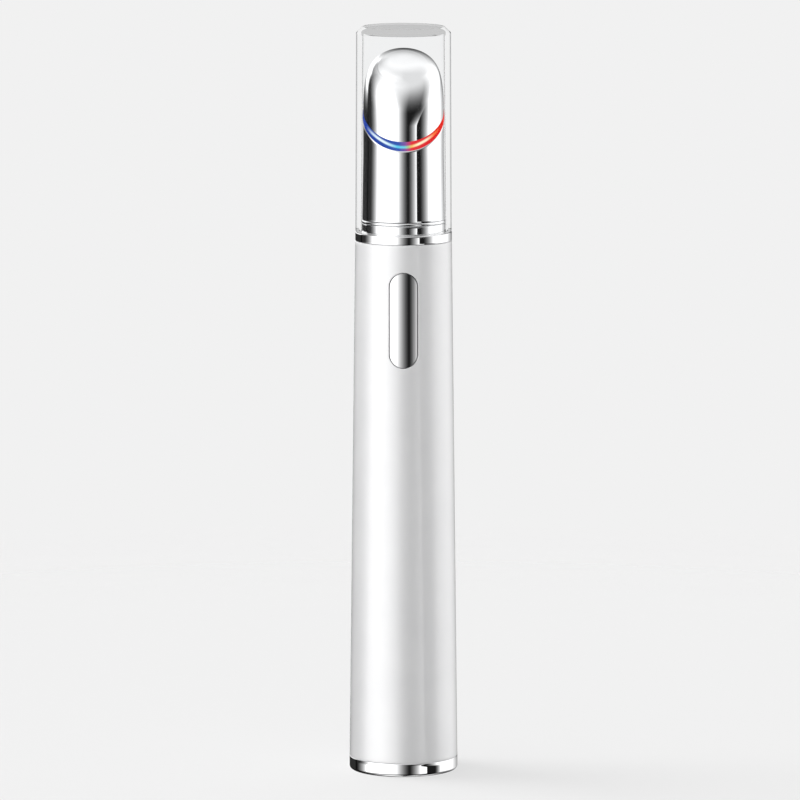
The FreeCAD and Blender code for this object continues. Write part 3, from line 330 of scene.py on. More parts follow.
def workedMetal(name, tone, roughness, stretch=(1, 1, 0.05), lines=4.0):
    # drawn or turned metal with its tool lines
    s = metalSettings
    material, kit = newFinish(name)
    marks = kit.noise(lines, 3.0, stretch)
    deeper = [part * s["markShade"] for part in tone]
    closeFinish(kit, {
        "Base Color": kit.mixColour(marks.ramp(0.3, 0.75), colour(*tone), colour(*deeper)),
        "Metallic": 1.0,
        "Roughness": roughness + (marks - 0.5) * s["markSpread"],
        "Normal": kit.bump(marks, s["markDepth"]),
    })
    return material


boardSettings = {
    "mask": (0.008, 0.10, 0.035),
    "track": (0.02, 0.19, 0.07),
    "lanes": 6.0, "wander": 3.0,   # how close the tracks lie, and how far they stray sideways
    "trackHeight": 0.02,
    "grains": 2.0, "roughness": 0.32, "roughnessSpread": 0.1, "coat": 0.4,
}


def boardLaminate():
    # green solder mask over copper tracks that run up the board
    s = boardSettings
    material, kit = newFinish("boardLaminate")
    across = kit.axes(kit.place())[0] / mm
    wander = kit.noise(0.12, 1.0) * s["wander"]
    tracks = ((across + wander) * s["lanes"]).math("SINE").ramp(0.55, 0.75)
    closeFinish(kit, {
        "Base Color": kit.mixColour(tracks, colour(*s["mask"]), colour(*s["track"])),
        "Roughness": s["roughness"] + kit.noise(s["grains"]) * s["roughnessSpread"],
        "Coat Weight": s["coat"],
        "Normal": kit.bump(tracks, s["trackHeight"]),
    })
    return material


lampSettings = {"lens": (0.8, 0.8, 0.75), "lensGrains": 3.0, "grains": 2.0, "roughness": 0.2}


def glowingLamp(name, tone):
    # tiny lamp with its lens, lit
    s = lampSettings
    material, kit = newFinish(name)
    lens = kit.noise(s["lensGrains"])
    closeFinish(kit, {
        "Base Color": kit.mixColour(lens, colour(*s["lens"]), colour(*tone)),
        "Roughness": s["roughness"] + kit.noise(s["grains"]) * 0.1,
        "Emission Color": colour(*tone),
        "Emission Strength": 1.0,
    })
    return material


# the finish of each of the part's material slots
finishes = {
    "chrome_trim": polishedChrome(),
    "white_shell": pearlLacquer(),
    "clear_shell": clearAcrylic(),
    "light_guide": glowingGuide(),
    "foot_plate": mouldedPlastic("footPlate", (0.62, 0.62, 0.63), 0.42),
    "seal_rubber": mouldedPlastic("sealRubber", (0.03, 0.03, 0.03), 0.6),
    "frame_plastic": mouldedPlastic("framePlastic", (0.55, 0.56, 0.57), 0.5),
    "board_laminate": boardLaminate(),
    "chip_plastic": mouldedPlastic("chipPlastic", (0.02, 0.02, 0.022), 0.5, 0.003),
    "coil_ferrite": mouldedPlastic("coilFerrite", (0.07, 0.07, 0.075), 0.65, 0.006, 2.0),
    "passive_ceramic": mouldedPlastic("passiveCeramic", (0.45, 0.33, 0.22), 0.45),
    "screw_steel": workedMetal("screwSteel", (0.62, 0.62, 0.63), 0.3),
    "port_steel": workedMetal("portSteel", (0.72, 0.72, 0.73), 0.25, (1, 1, 0.08)),
    "port_plastic": mouldedPlastic("portPlastic", (0.02, 0.02, 0.02), 0.4),
    "contact_gold": workedMetal("contactGold", (0.93, 0.68, 0.30), 0.25),
    "cell_wrap": mouldedPlastic("cellWrap", (0.05, 0.16, 0.42), 0.3, 0.004, 0.8),
    "pad_foam": mouldedPlastic("padFoam", (0.08, 0.08, 0.085), 0.85, 0.03, 1.6),
    "tab_nickel": workedMetal("tabNickel", (0.66, 0.62, 0.56), 0.32),
    "switch_case": mouldedPlastic("switchCase", (0.05, 0.05, 0.05), 0.5),
    "plunger_plastic": mouldedPlastic("plungerPlastic", (0.75, 0.74, 0.70), 0.4),
    "motor_steel": workedMetal("motorSteel", (0.70, 0.70, 0.71), 0.28),
    "endcap_plastic": mouldedPlastic("endcapPlastic", (0.80, 0.79, 0.75), 0.45),
    "armature_copper": workedMetal("armatureCopper", (0.80, 0.42, 0.25), 0.35, (0.1, 0.1, 1), 5.0),
    "weight_alloy": workedMetal("weightAlloy", (0.45, 0.44, 0.43), 0.4),
    "sleeve_rubber": mouldedPlastic("sleeveRubber", (0.05, 0.05, 0.055), 0.7, 0.004),
    "lamp_blue": glowingLamp("lampBlue", (0.03, 0.16, 0.9)),
    "lamp_red": glowingLamp("lampRed", (0.95, 0.03, 0.01)),
    "film_polyimide": mouldedPlastic("filmPolyimide", (0.55, 0.27, 0.04), 0.25, 0.002, 1.0),
    "cushion_silicone": mouldedPlastic("cushionSilicone", (0.62, 0.63, 0.64), 0.6, 0.004),
    "sensor_glass": mouldedPlastic("sensorGlass", (0.30, 0.05, 0.03), 0.2),
    "wire_red": mouldedPlastic("wireRed", (0.45, 0.03, 0.02), 0.4),
}
for part in frame["record"]["subparts"]:
    node = frame["nodes"][part["node"]]
    node.data.materials.clear()
    node.data.materials.append(finishes[part["material_slot"]])
print("finishes made:", len(finishes))


def profileEdges(bm, points, closed=True, margin=0.3):
    # thin outline in the XZ plane, through radius and height pairs
    # a long side gets a point at this margin from each end, so that its middle shades as truly flat
    corners = [Vector((radius * mm, 0, height * mm)) for radius, height in points]
    sides = list(zip(corners, corners[1:] + corners[:1]))
    spots = []
    for first, second in sides if closed else sides[:-1]:
        spots.append(bm.verts.new(first))
        along = second - first
        if along.length > 3 * margin * mm:
            step = along.normalized() * margin * mm
            spots += [bm.verts.new(first + step), bm.verts.new(second - step)]
    if closed:
        ends = [(spots[-1], spots[0])]
    else:
        spots.append(bm.verts.new(corners[-1]))
        ends = []
    return spots + [bm.edges.new(pair) for pair in list(zip(spots, spots[1:])) + ends]


def spinOutline(bm, outline, steps=turnSteps):
    bmesh.ops.spin(bm, geom=outline, cent=(0, 0, 0), axis=(0, 0, 1), angle=math.tau,
                   steps=steps, use_merge=True, use_duplicate=False)
    bmesh.ops.remove_doubles(bm, verts=bm.verts, dist=weld * mm)
    bmesh.ops.recalc_face_normals(bm, faces=bm.faces)


def nearSpot(vert, radius, height):
    away = math.hypot(vert.co.x, vert.co.y) / mm - radius
    return abs(away) < tolerance and abs(vert.co.z / mm - height) < tolerance


def roundRing(bm, radius, height, offset, steps=4):
    # rounds the circular edge of that radius at that height
    edges = [edge for edge in bm.edges if all(nearSpot(v, radius, height) for v in edge.verts)]
    bevelEdges(bm, edges, offset, steps)


def bevelEdges(bm, edges, offset, steps):
    bmesh.ops.bevel(bm, geom=edges, offset=offset * mm, offset_type="OFFSET", segments=steps,
                    profile=0.5, affect="EDGES", clamp_overlap=True, material=-1)


def leanBack(bm, verts, slant):
    # raises each point by slant times its y
    lean = Matrix.Identity(4)
    lean[2][1] = slant
    bmesh.ops.transform(bm, matrix=lean, verts=verts)


def spareEdges(bm):
    return [edge for edge in bm.edges if len(edge.link_faces) == 1]


def finishPiece(bm, name, body, slot, nodes, sharpFrom=38, flatSides=True):
    bmesh.ops.remove_doubles(bm, verts=bm.verts, dist=weld * mm)
    bmesh.ops.recalc_face_normals(bm, faces=bm.faces)
    for face in bm.faces:
        face.smooth = True
    for edge in bm.edges:
        edge.smooth = edge.calc_face_angle(0) < math.radians(sharpFrom)
    mesh = bpy.data.meshes.new(name)
    bm.to_mesh(mesh)
    bm.free()
    mesh.materials.append(finishes[slot])
    piece = bpy.data.objects.new(name, mesh)
    bpy.context.scene.collection.objects.link(piece)
    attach(piece, body)
    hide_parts(*nodes)
    if flatSides:  # they stay flat beside their rounds
        evenShade = piece.modifiers.new("evenShade", "WEIGHTED_NORMAL")
        evenShade.keep_sharp = True
        evenShade.weight = 100
    print("made", name, len(mesh.polygons), "faces")


footSizes = {
    "radius": 10.0, "height": 2.5, "rimBore": 8.35, "shelf": 2.0,
    "spigotRadius": 8.516, "spigotBore": 7.45, "spigotTop": 8.0,
    "grooveLow": 5.15, "grooveHigh": 5.85, "grooveRadius": 7.916,
    "edgeRound": 0.6, "seamRound": 0.15, "boreRound": 0.1,
    "margin": 0.7,   # more than the largest round
}


def makeFootRing():
    s = footSizes
    bm = bmesh.new()
    outline = profileEdges(bm, [
        (s["rimBore"], 0), (s["radius"], 0), (s["radius"], s["height"]),
        (s["spigotRadius"], s["height"]), (s["spigotRadius"], s["grooveLow"]),
        (s["grooveRadius"], s["grooveLow"]), (s["grooveRadius"], s["grooveHigh"]),
        (s["spigotRadius"], s["grooveHigh"]), (s["spigotRadius"], s["spigotTop"]),
        (s["spigotBore"], s["spigotTop"]), (s["spigotBore"], s["shelf"]),
        (s["rimBore"], s["shelf"]),
    ], margin=s["margin"])
    spinOutline(bm, outline)
    roundRing(bm, s["radius"], 0, s["edgeRound"], steps=8)
    roundRing(bm, s["radius"], s["height"], s["seamRound"])
    roundRing(bm, s["rimBore"], 0, s["boreRound"], steps=2)
    finishPiece(bm, "footRing", "root", "chrome_trim", ["base_ring"])


barrelSizes = {
    "footRadius": 9.98, "topRadius": 8.87, "foot": 2.5, "top": 98.2, "wall": 1.3,
    "windowWidth": 5.3, "windowLength": 17.6, "windowLevel": 84.46,
    "windowMargin": 0.6,   # smooth band kept round the window
    "marginColumns": 14,   # columns of faces on each side that the band takes up
    "bandCuts": 3,         # loops that smooth the band
    "columns": 240, "rows": 12, "rimRound": 0.1, "endRound": 0.12,
}


def barrelRadius(height, inset=0.0):
    s = barrelSizes
    share = (height - s["foot"]) / (s["top"] - s["foot"])
    return s["footRadius"] + (s["topRadius"] - s["footRadius"]) * share - inset


def ontoBarrel(verts, inset=0.0):
    # slides points along y until they lie on the front of the barrel's cone
    for vert in verts:
        radius = barrelRadius(vert.co.z / mm, inset) * mm
        vert.co.y = -math.sqrt(radius * radius - vert.co.x * vert.co.x)


def pillLoop(bm, width, length, level, steps, rows):
    # closed loop with round ends, as long as length, standing in the XZ plane
    half, straight = width / 2 * mm, (length - width) / 2 * mm
    others = set(bm.verts)
    start = bm.verts.new((half, 0, level * mm + straight))
    last = start
    for side in (1, -1):  # over the top and down, then under the foot and up
        centre = (0, 0, level * mm + straight * side)
        last = bmesh.ops.spin(bm, geom=[last], cent=centre, axis=(0, -1, 0), angle=math.pi,
                              steps=steps)["geom_last"][0]
        run = (0, 0, -2 * straight * side / rows)
        last = bmesh.ops.spin(bm, geom=[last], axis=(0, -1, 0), angle=0, dvec=run,
                              steps=rows if side > 0 else rows - 1)["geom_last"][0]
    bm.edges.new((last, start))
    return [vert for vert in bm.verts if vert not in others]


def loopEdges(loop):
    inside = set(loop)
    return [edge for edge in {e for v in loop for e in v.link_edges}
            if all(vert in inside for vert in edge.verts)]


def windowSpan():
    # lowest and highest level of the rows of faces that the window and its margin take up
    s = barrelSizes
    reach = s["windowLength"] / 2 + s["windowMargin"]
    return s["windowLevel"] - reach, s["windowLevel"] + reach


def spinWall(bm):
    # the closed wall of the handle, with even rows of faces where the window goes
    s = barrelSizes
    low, high = windowSpan()
    levels = [s["foot"]] + [low + (high - low) * row / s["rows"] for row in range(s["rows"] + 1)]
    levels.append(s["top"])
    outside = [(barrelRadius(level), level) for level in levels]
    inside = [(barrelRadius(level, s["wall"]), level) for level in reversed(levels)]
    spinOutline(bm, profileEdges(bm, outside + inside, margin=s["windowMargin"]), s["columns"])


def openWindow(bm, inset):
    # cuts the window in one skin of the wall and leads a smooth band round it
    s = barrelSizes
    low, high = windowSpan()
    limit = math.tau * s["marginColumns"] / s["columns"]
    earlier = set(spareEdges(bm))

    def liesInHole(face):
        spot = face.calc_center_median()
        away = math.hypot(spot.x, spot.y) / mm - barrelRadius(spot.z / mm, inset)
        return (abs(away) < s["wall"] / 4 and low < spot.z / mm < high
                and abs(math.atan2(spot.x, -spot.y)) < limit)

    bmesh.ops.delete(bm, geom=[face for face in bm.faces if liesInHole(face)], context="FACES")
    rim = [edge for edge in spareEdges(bm) if edge not in earlier]
    loop = pillLoop(bm, s["windowWidth"], s["windowLength"], s["windowLevel"],
                    2 * s["marginColumns"], s["rows"])
    ontoBarrel(loop, inset)
    band = bmesh.ops.bridge_loops(bm, edges=rim + loopEdges(loop))
    cut = bmesh.ops.subdivide_edges(bm, edges=band["edges"], cuts=s["bandCuts"],
                                    use_grid_fill=True)
    ontoBarrel([item for item in cut["geom_inner"] if isinstance(item, bmesh.types.BMVert)], inset)


def liesOnEnd(edge):
    levels = (barrelSizes["foot"], barrelSizes["top"])
    return any(all(abs(vert.co.z / mm - level) < tolerance for vert in edge.verts)
               for level in levels)


def makeBarrel():
    s = barrelSizes
    bm = bmesh.new()
    spinWall(bm)
    openWindow(bm, 0.0)
    openWindow(bm, s["wall"])
    bmesh.ops.bridge_loops(bm, edges=spareEdges(bm))
    bmesh.ops.recalc_face_normals(bm, faces=bm.faces)
    windowRim = [edge for edge in bm.edges if edge.calc_face_angle(0) > 1 and not liesOnEnd(edge)
                 and all(math.hypot(*vert.co.xy) / mm > barrelRadius(vert.co.z / mm, 5 * tolerance)
                         for vert in edge.verts)]
    bevelEdges(bm, windowRim, s["rimRound"], steps=3)
    roundRing(bm, s["topRadius"], s["top"], s["endRound"], steps=3)
    roundRing(bm, s["footRadius"], s["foot"], s["endRound"], steps=3)
    finishPiece(bm, "barrelShell", "root", "white_shell", ["barrel"])


buttonSizes = {
    "width": 5.0, "length": 17.3, "level": 84.46, "edgeRound": 0.09,
    "lipWidth": 0.6, "lipInset": 1.42, "back": 6.309, "stemRadius": 1.5, "stemEnd": 5.05,
    "faceFrom": 8.3,   # the face and its rim lie further forward than this
    "steps": 28, "rows": 8, "strips": 20,
}


def makeButton():
    s = buttonSizes
    bm = bmesh.new()

    # face, in upright strips so that it can follow the barrel
    outline = pillLoop(bm, s["width"], s["length"], s["level"], s["steps"], s["rows"])
    bmesh.ops.contextual_create(bm, geom=loopEdges(outline))
    for strip in range(1, s["strips"]):
        across = (strip / s["strips"] - 0.5) * s["width"] * mm
        bmesh.ops.bisect_plane(bm, geom=bm.verts[:] + bm.edges[:] + bm.faces[:],
                               plane_co=(across, 0, 0), plane_no=(1, 0, 0))

    # side wall down to the shoulder, left open there
    behind = bmesh.ops.extrude_face_region(bm, geom=bm.faces[:], use_keep_orig=True)["geom"]
    shoulder = [item for item in behind if isinstance(item, bmesh.types.BMVert)]
    ontoBarrel([vert for vert in bm.verts if vert not in set(shoulder)])
    ontoBarrel(shoulder, s["lipInset"])
    bmesh.ops.delete(bm, geom=[item for item in behind if isinstance(item, bmesh.types.BMFace)],
                     context="FACES")
    shoulderEdges = spareEdges(bm)

    # lip behind the window, curved at its front and flat at its back
    length, width = s["length"] + 2 * s["lipWidth"], s["width"] + 2 * s["lipWidth"]
    front = pillLoop(bm, width, length, s["level"], s["steps"], s["rows"])
    ontoBarrel(front, s["lipInset"])
    back = pillLoop(bm, width, length, s["level"], s["steps"], s["rows"])
    bmesh.ops.translate(bm, verts=back, vec=(0, -s["back"] * mm, 0))
    frontEdges, backEdges = loopEdges(front), loopEdges(back)
    bmesh.ops.bridge_loops(bm, edges=shoulderEdges + frontEdges)
    bmesh.ops.bridge_loops(bm, edges=frontEdges + backEdges)

    # stem that reaches the switch
    standing = Matrix.Translation((0, -s["back"] * mm, s["level"] * mm))
    standing @= Matrix.Rotation(math.pi / 2, 4, "X")
    stem = bmesh.ops.create_circle(bm, segments=len(backEdges), radius=s["stemRadius"] * mm,
                                   matrix=standing)["verts"]
    stemEdges = loopEdges(stem)
    bmesh.ops.bridge_loops(bm, edges=backEdges + stemEdges)
    end = bmesh.ops.extrude_edge_only(bm, edges=stemEdges)["geom"]
    endVerts = [item for item in end if isinstance(item, bmesh.types.BMVert)]
    bmesh.ops.translate(bm, verts=endVerts, vec=(0, (s["back"] - s["stemEnd"]) * mm, 0))
    bmesh.ops.contextual_create(bm, geom=loopEdges(endVerts))
    bmesh.ops.recalc_face_normals(bm, faces=bm.faces)

    rim = [edge for edge in bm.edges if edge.calc_face_angle(0) > 1
           and all(-vert.co.y > s["faceFrom"] * mm for vert in edge.verts)]
    bevelEdges(bm, rim, s["edgeRound"], steps=4)
    finishPiece(bm, "pressButton", "button", "chrome_trim", ["button"])


collarSizes = {
    "bore": 6.95, "skirtFoot": 94.3, "skirtRadius": 7.47, "seat": 98.2,
    "flangeRadius": 8.87, "flangeTop": 99.9, "neckRadius": 7.6, "neckTop": 101.5,
    "flangeRound": 0.2, "neckRound": 0.06, "skirtRound": 0.15,
}


def makeCollar():
    s = collarSizes
    bm = bmesh.new()
    outline = profileEdges(bm, [
        (s["bore"], s["skirtFoot"]), (s["skirtRadius"], s["skirtFoot"]),
        (s["skirtRadius"], s["seat"]), (s["flangeRadius"], s["seat"]),
        (s["flangeRadius"], s["flangeTop"]), (s["neckRadius"], s["flangeTop"]),
        (s["neckRadius"], s["neckTop"]), (s["bore"], s["neckTop"]),
    ])
    spinOutline(bm, outline)
    roundRing(bm, s["flangeRadius"], s["seat"], s["flangeRound"])
    roundRing(bm, s["flangeRadius"], s["flangeTop"], s["flangeRound"])
    roundRing(bm, s["neckRadius"], s["neckTop"], s["neckRound"], steps=2)
    roundRing(bm, s["skirtRadius"], s["skirtFoot"], s["skirtRound"], steps=2)
    finishPiece(bm, "collarTrim", "root", "chrome_trim", ["collar"])


beadSizes = {"bore": 6.95, "radius": 7.66, "foot": 101.5, "top": 102.15, "round": 0.27}


def makeBead():
    s = beadSizes
    bm = bmesh.new()
    outline = profileEdges(bm, [
        (s["bore"], s["foot"]), (s["radius"], s["foot"]),
        (s["radius"], s["top"]), (s["bore"], s["top"]),
    ])
    spinOutline(bm, outline)
    for level in (s["foot"], s["top"]):
        roundRing(bm, s["radius"], level, s["round"], steps=6)
    finishPiece(bm, "neckBead", "root", "chrome_trim", ["neck_trim_ring"])


tubeSizes = {
    "spigotBore": 6.0, "spigotFoot": 95.15, "spigotRadius": 6.9, "foot": 102.15,
    "footRadius": 7.55, "radius": 7.35, "taperEnd": 114.4545, "bore": 6.3, "ledge": 102.65,
    "crownDepth": 0.5,   # what leans back with the crown
    "footRound": 0.08, "seamRound": 0.24,
}


def makeHeadTube():
    s = tubeSizes
    bm = bmesh.new()
    top = ringPlane["level"] - ringPlane["half"]
    outline = profileEdges(bm, [
        (s["spigotBore"], s["spigotFoot"]), (s["spigotRadius"], s["spigotFoot"]),
        (s["spigotRadius"], s["foot"]), (s["footRadius"], s["foot"]),
        (s["radius"], s["taperEnd"]), (s["radius"], top), (s["bore"], top),
        (s["bore"], s["ledge"]), (s["spigotBore"], s["ledge"]),
    ])
    spinOutline(bm, outline)
    roundRing(bm, s["footRadius"], s["foot"], s["footRound"], steps=2)
    outerCrown = [edge for edge in bm.edges
                  if all(nearSpot(vert, s["radius"], top) for vert in edge.verts)]
    crown = [vert for vert in bm.verts if vert.co.z / mm > top - s["crownDepth"]]
    leanBack(bm, crown, ringPlane["slant"])
    bevelEdges(bm, outerCrown, s["seamRound"], steps=3)
    finishPiece(bm, "headTube", "root", "chrome_trim", ["head_tube"])


guideSizes = {
    "recess": 0.06, "bulge": 0.12,   # its rims stand back from the tube's side, its belly stands out
    "bellyShare": 0.45, "bellyRound": 0.3,
    "lipRadius": 6.25, "lipBore": 5.65, "lipHeight": 0.6,
}


def makeLightGuide():
    s = guideSizes
    bm = bmesh.new()
    half, lip = ringPlane["half"], ringPlane["half"] + s["lipHeight"]
    rim, bulge = tubeSizes["radius"] - s["recess"], tubeSizes["radius"] + s["bulge"]
    belly = half * s["bellyShare"]
    points = [
        (rim, -half), (bulge, -belly), (bulge, belly), (rim, half),
        (s["lipRadius"], half), (s["lipRadius"], lip), (s["lipBore"], lip),
        (s["lipBore"], -lip), (s["lipRadius"], -lip), (s["lipRadius"], -half),
    ]
    outline = profileEdges(bm, [(radius, ringPlane["level"] + rise) for radius, rise in points])
    spinOutline(bm, outline)
    for rise in (-belly, belly):
        roundRing(bm, bulge, ringPlane["level"] + rise, s["bellyRound"], steps=6)
    leanBack(bm, bm.verts, ringPlane["slant"])
    finishPiece(bm, "lightGuide", "root", "light_guide", ["light_ring"], sharpFrom=50)


domeSizes = {
    "level": 122.57, "height": 8.585, "slant": 0.5,
    "pull": 0.772,   # how square its shoulder is, as a share of the radius
    "skirt": 12,     # how far it is spun down, before it is cut off along the ring's plane
    "band": 0.4,     # line kept above the rim, where the rim's round ends
    "rows": 56, "wall": 1.05, "seamRound": 0.24,
}


def makeDome():
    # spun from its curve, leant back, cut off along the ring's plane and thickened inwards
    s = domeSizes
    bm = bmesh.new()
    radius, foot, crest = [size * mm for size in (
        tubeSizes["radius"], s["level"], s["level"] + s["height"])]
    curve = interpolate_bezier(
        Vector((radius, 0, foot)), Vector((radius, 0, crest)),
        Vector((s["pull"] * radius, 0, crest)), Vector((0, 0, crest)), s["rows"])
    skirt = Vector((radius, 0, foot - s["skirt"] * mm))
    spots = [bm.verts.new(point) for point in [skirt] + curve]
    spinOutline(bm, spots + [bm.edges.new(pair) for pair in zip(spots, spots[1:])])
    leanBack(bm, bm.verts, s["slant"])
    level = ringPlane["level"] + ringPlane["half"]
    for rise, cutsOff in ((s["band"], False), (0.0, True)):
        bmesh.ops.bisect_plane(bm, geom=bm.verts[:] + bm.edges[:] + bm.faces[:],
                               plane_co=(0, 0, (level + rise) * mm),
                               plane_no=(0, -ringPlane["slant"], 1), clear_inner=cutsOff)
    bmesh.ops.recalc_face_normals(bm, faces=bm.faces)
    bmesh.ops.solidify(bm, geom=bm.faces[:], thickness=s["wall"] * mm)
    bmesh.ops.recalc_face_normals(bm, faces=bm.faces)

    def liesOnRim(vert):
        height = (vert.co.z - ringPlane["slant"] * vert.co.y) / mm
        away = math.hypot(vert.co.x, vert.co.y) / mm
        return abs(height - level) < tolerance and away > tubeSizes["radius"] - 2 * tolerance

    rim = [edge for edge in bm.edges if all(liesOnRim(vert) for vert in edge.verts)]
    bevelEdges(bm, rim, s["seamRound"], steps=3)
    finishPiece(bm, "faceDome", "root", "chrome_trim", ["massage_head"],
                sharpFrom=8, flatSides=False)


capSizes = {
    "foot": 99.95, "footBore": 7.81, "footRadius": 8.80, "topRadius": 8.65, "top": 137.5,
    "ceiling": 136.2, "ceilingBore": 7.5, "bevel": 1.13, "edgeRound": 0.05, "cornerRound": 0.3,
    "footRound": 0.12,
}


def makeCap():
    s = capSizes
    bm = bmesh.new()
    shoulder = s["top"] - s["bevel"]
    draft = (s["footRadius"] - s["topRadius"]) / (s["top"] - s["foot"])
    shoulderRadius = s["topRadius"] + draft * s["bevel"]
    outline = profileEdges(bm, [
        (0, s["ceiling"]), (s["ceilingBore"], s["ceiling"]), (s["footBore"], s["foot"]),
        (s["footRadius"], s["foot"]), (shoulderRadius, shoulder),
        (s["topRadius"] - s["bevel"], s["top"]), (0, s["top"]),
    ], closed=False)
    spinOutline(bm, outline)
    roundRing(bm, s["ceilingBore"], s["ceiling"], s["cornerRound"], steps=5)
    roundRing(bm, s["footRadius"], s["foot"], s["footRound"], steps=3)
    roundRing(bm, s["footBore"], s["foot"], s["footRound"], steps=3)
    roundRing(bm, shoulderRadius, shoulder, s["edgeRound"], steps=2)
    roundRing(bm, s["topRadius"] - s["bevel"], s["top"], s["edgeRound"], steps=2)
    finishPiece(bm, "clearCap", "cap", "clear_shell", ["clear_cap"], sharpFrom=25)


makeFootRing()
makeBarrel()
makeButton()
makeCollar()
makeBead()
makeHeadTube()
makeLightGuide()
makeDome()
makeCap()


# The studio is white panels with dark cloths hung before them, which only polished surfaces see.
# turn goes round the object in degrees from its front to its right, and rise is the height.
# A pair of sides holds for the two rises named beside it. A darkness runs out over the rises
# named paler. foot is 1 low down, where only the foot ring looks.

slitSettings = {
    "rise": (-3.8, 6.0), "start": (13.9, 34.0), "full": (36.5, 85.8), "end": (37.9, 65.5),
    "endHalf": 0.6, "footEnd": 14.0, "paler": (-3.0, 8.0),
}


def lightSlit(turn, rise, foot):
    # slit of light in the front cloth with one crisp side, which leans away above the horizon
    s = slitSettings
    start, full, end = [rise.ramp(*s["rise"], *s[side]) for side in ("start", "full", "end")]
    crisp = turn - (foot * s["footEnd"] + end)
    slit = turn.ramp(start, full) * crisp.fall(-s["endHalf"], s["endHalf"])
    return slit * rise.fall(*s["paler"])


frontSettings = {
    "dark": 0.73, "haze": 0.14, "paler": (4.0, 75.0), "palerPower": 2.4,
    "rise": (8.0, 50.0), "start": (-15.0, -44.0), "full": (12.0, 24.0),
    "fade": 48.0, "end": 75.5, "footFade": 24.0, "footEnd": 11.0,
    "widerRise": (10.0, 60.0), "wider": 30.0,
}


def frontCloth(turn, rise, foot):
    # hangs in front and a little to the right, paler and wider towards the ceiling
    s = frontSettings
    left = turn.ramp(rise.ramp(*s["rise"], *s["start"]), rise.ramp(*s["rise"], *s["full"]))
    shifted = turn - rise.ramp(*s["widerRise"], 0.0, s["wider"])
    right = shifted.fall(foot * s["footFade"] + s["fade"], foot * s["footEnd"] + s["end"])
    return left * right * (rise.fall(*s["paler"]) ** s["palerPower"] * s["dark"] + s["haze"])


leftSettings = {
    "dark": 0.81, "paler": (12.0, 70.0),
    "start": -126.0, "full": -119.0, "fade": -105.0, "end": -76.0,
    "footShift": -10.0, "upperRise": (0.0, 10.0), "upperShift": 3.0, "upperSoft": 4.0,
    "spreadRise": (32.0, 54.0), "spread": 48.0, "spreadFull": 0.8,
    "lowSides": (-172.0, -165.0, -120.0, -116.0), "lowPaler": (-5.0, 3.0),
}


def leftCloth(turn, rise, foot):
    # spreads out behind as it rises
    s = leftSettings
    upper = rise.ramp(*s["upperRise"])
    spread = rise.ramp(*s["spreadRise"], 0.0, s["spread"])
    near = foot * s["footShift"] - upper * s["upperShift"]
    cloth = turn.band(s["start"] - spread, s["full"] - spread * s["spreadFull"],
                      near - upper * s["upperSoft"] + s["fade"], near + s["end"])
    return cloth * rise.ramp(*s["paler"], s["dark"], 0.0)


def lowCloth(turn, rise):
    # short one beside the left cloth, further back
    s = leftSettings
    return turn.band(*s["lowSides"]) * rise.ramp(*s["lowPaler"], s["dark"], 0.0)


behindSettings = {
    "dark": 0.70, "paler": (30.0, 60.0), "lowRise": (-12.0, 6.0), "lowShare": 0.5,
    "start": 140.0, "full": 176.0, "startRise": (3.0, 10.0), "startShift": 14.0,
    "fade": -178.0, "endRise": (5.0, 35.0), "end": (-173.0, -158.0),
}


def clothBehind(turn, rise):
    # goes on across the seam of the turn, at 180 degrees
    s = behindSettings
    right = (turn + rise.ramp(*s["startRise"], s["startShift"], 0.0)).ramp(s["start"], s["full"])
    left = turn.fall(s["fade"], rise.ramp(*s["endRise"], *s["end"]))
    cloth = (right + left) * rise.ramp(*s["paler"], s["dark"], 0.0)
    return cloth * rise.ramp(*s["lowRise"], s["lowShare"], 1.0)


roomSettings = {
    "footRise": (-11.0, -6.5),
    "ceiling": 0.85, "ceilingRise": (52.0, 74.0),
    "ceilingLeft": 0.13, "ceilingTop": 0.04, "leftSides": (-185.0, -140.0, -70.0, 30.0),
    "leftRise": (78.0, 90.0),
    # pale floor with a dim border round it
    "floorDark": 0.1, "borderDark": 0.6, "floorRise": (-62.0, -42.0), "borderRise": (-30.0, -14.0),
}


def studioTone(turn, rise):
    # how light the studio is towards each side
    s = roomSettings
    foot = rise.fall(*s["footRise"])
    grey = 1 - frontCloth(turn, rise, foot) * (1 - lightSlit(turn, rise, foot))
    for cloth in (leftCloth(turn, rise, foot), lowCloth(turn, rise), clothBehind(turn, rise)):
        grey = grey * (1 - cloth)
    ceiling = turn.band(*s["leftSides"]) * rise.ramp(
        *s["leftRise"], s["ceilingLeft"], s["ceilingTop"]) + s["ceiling"]
    grey = grey + (ceiling - grey) * rise.ramp(*s["ceilingRise"], soft=True)
    ground = rise.ramp(*s["floorRise"], s["floorDark"], s["borderDark"])
    return grey * (1 - ground * rise.fall(*s["borderRise"]))


studioSettings = {
    "background": 0.88,     # plain tone behind the object
    "fill": 1.01,           # light that falls on matt surfaces
    "sideFill": 2.6,        # strip of it at the left
    "sideSides": (-140.0, -125.0, -95.0, -80.0),
    "rightShade": 0.22,     # how much of it is held back at the right
    "shadeSides": (0.0, 50.0, 110.0, 150.0),
    "panel": 1.10,          # white panels as polished surfaces see them
    "panelPower": 2.2,      # how fast they darken towards the cloths
    "panelHeart": 0.12,     # added where a panel is whitest
    "heartPower": 8.0,
    "keyPanel": 0.55,       # added by the large panel at the left
    "keySides": (-95.0, -70.0, -40.0, -15.0), "keyRise": (15.0, 45.0),
    "lidShade": 0.35,       # how much darker light is that ran along the cap's lid
}


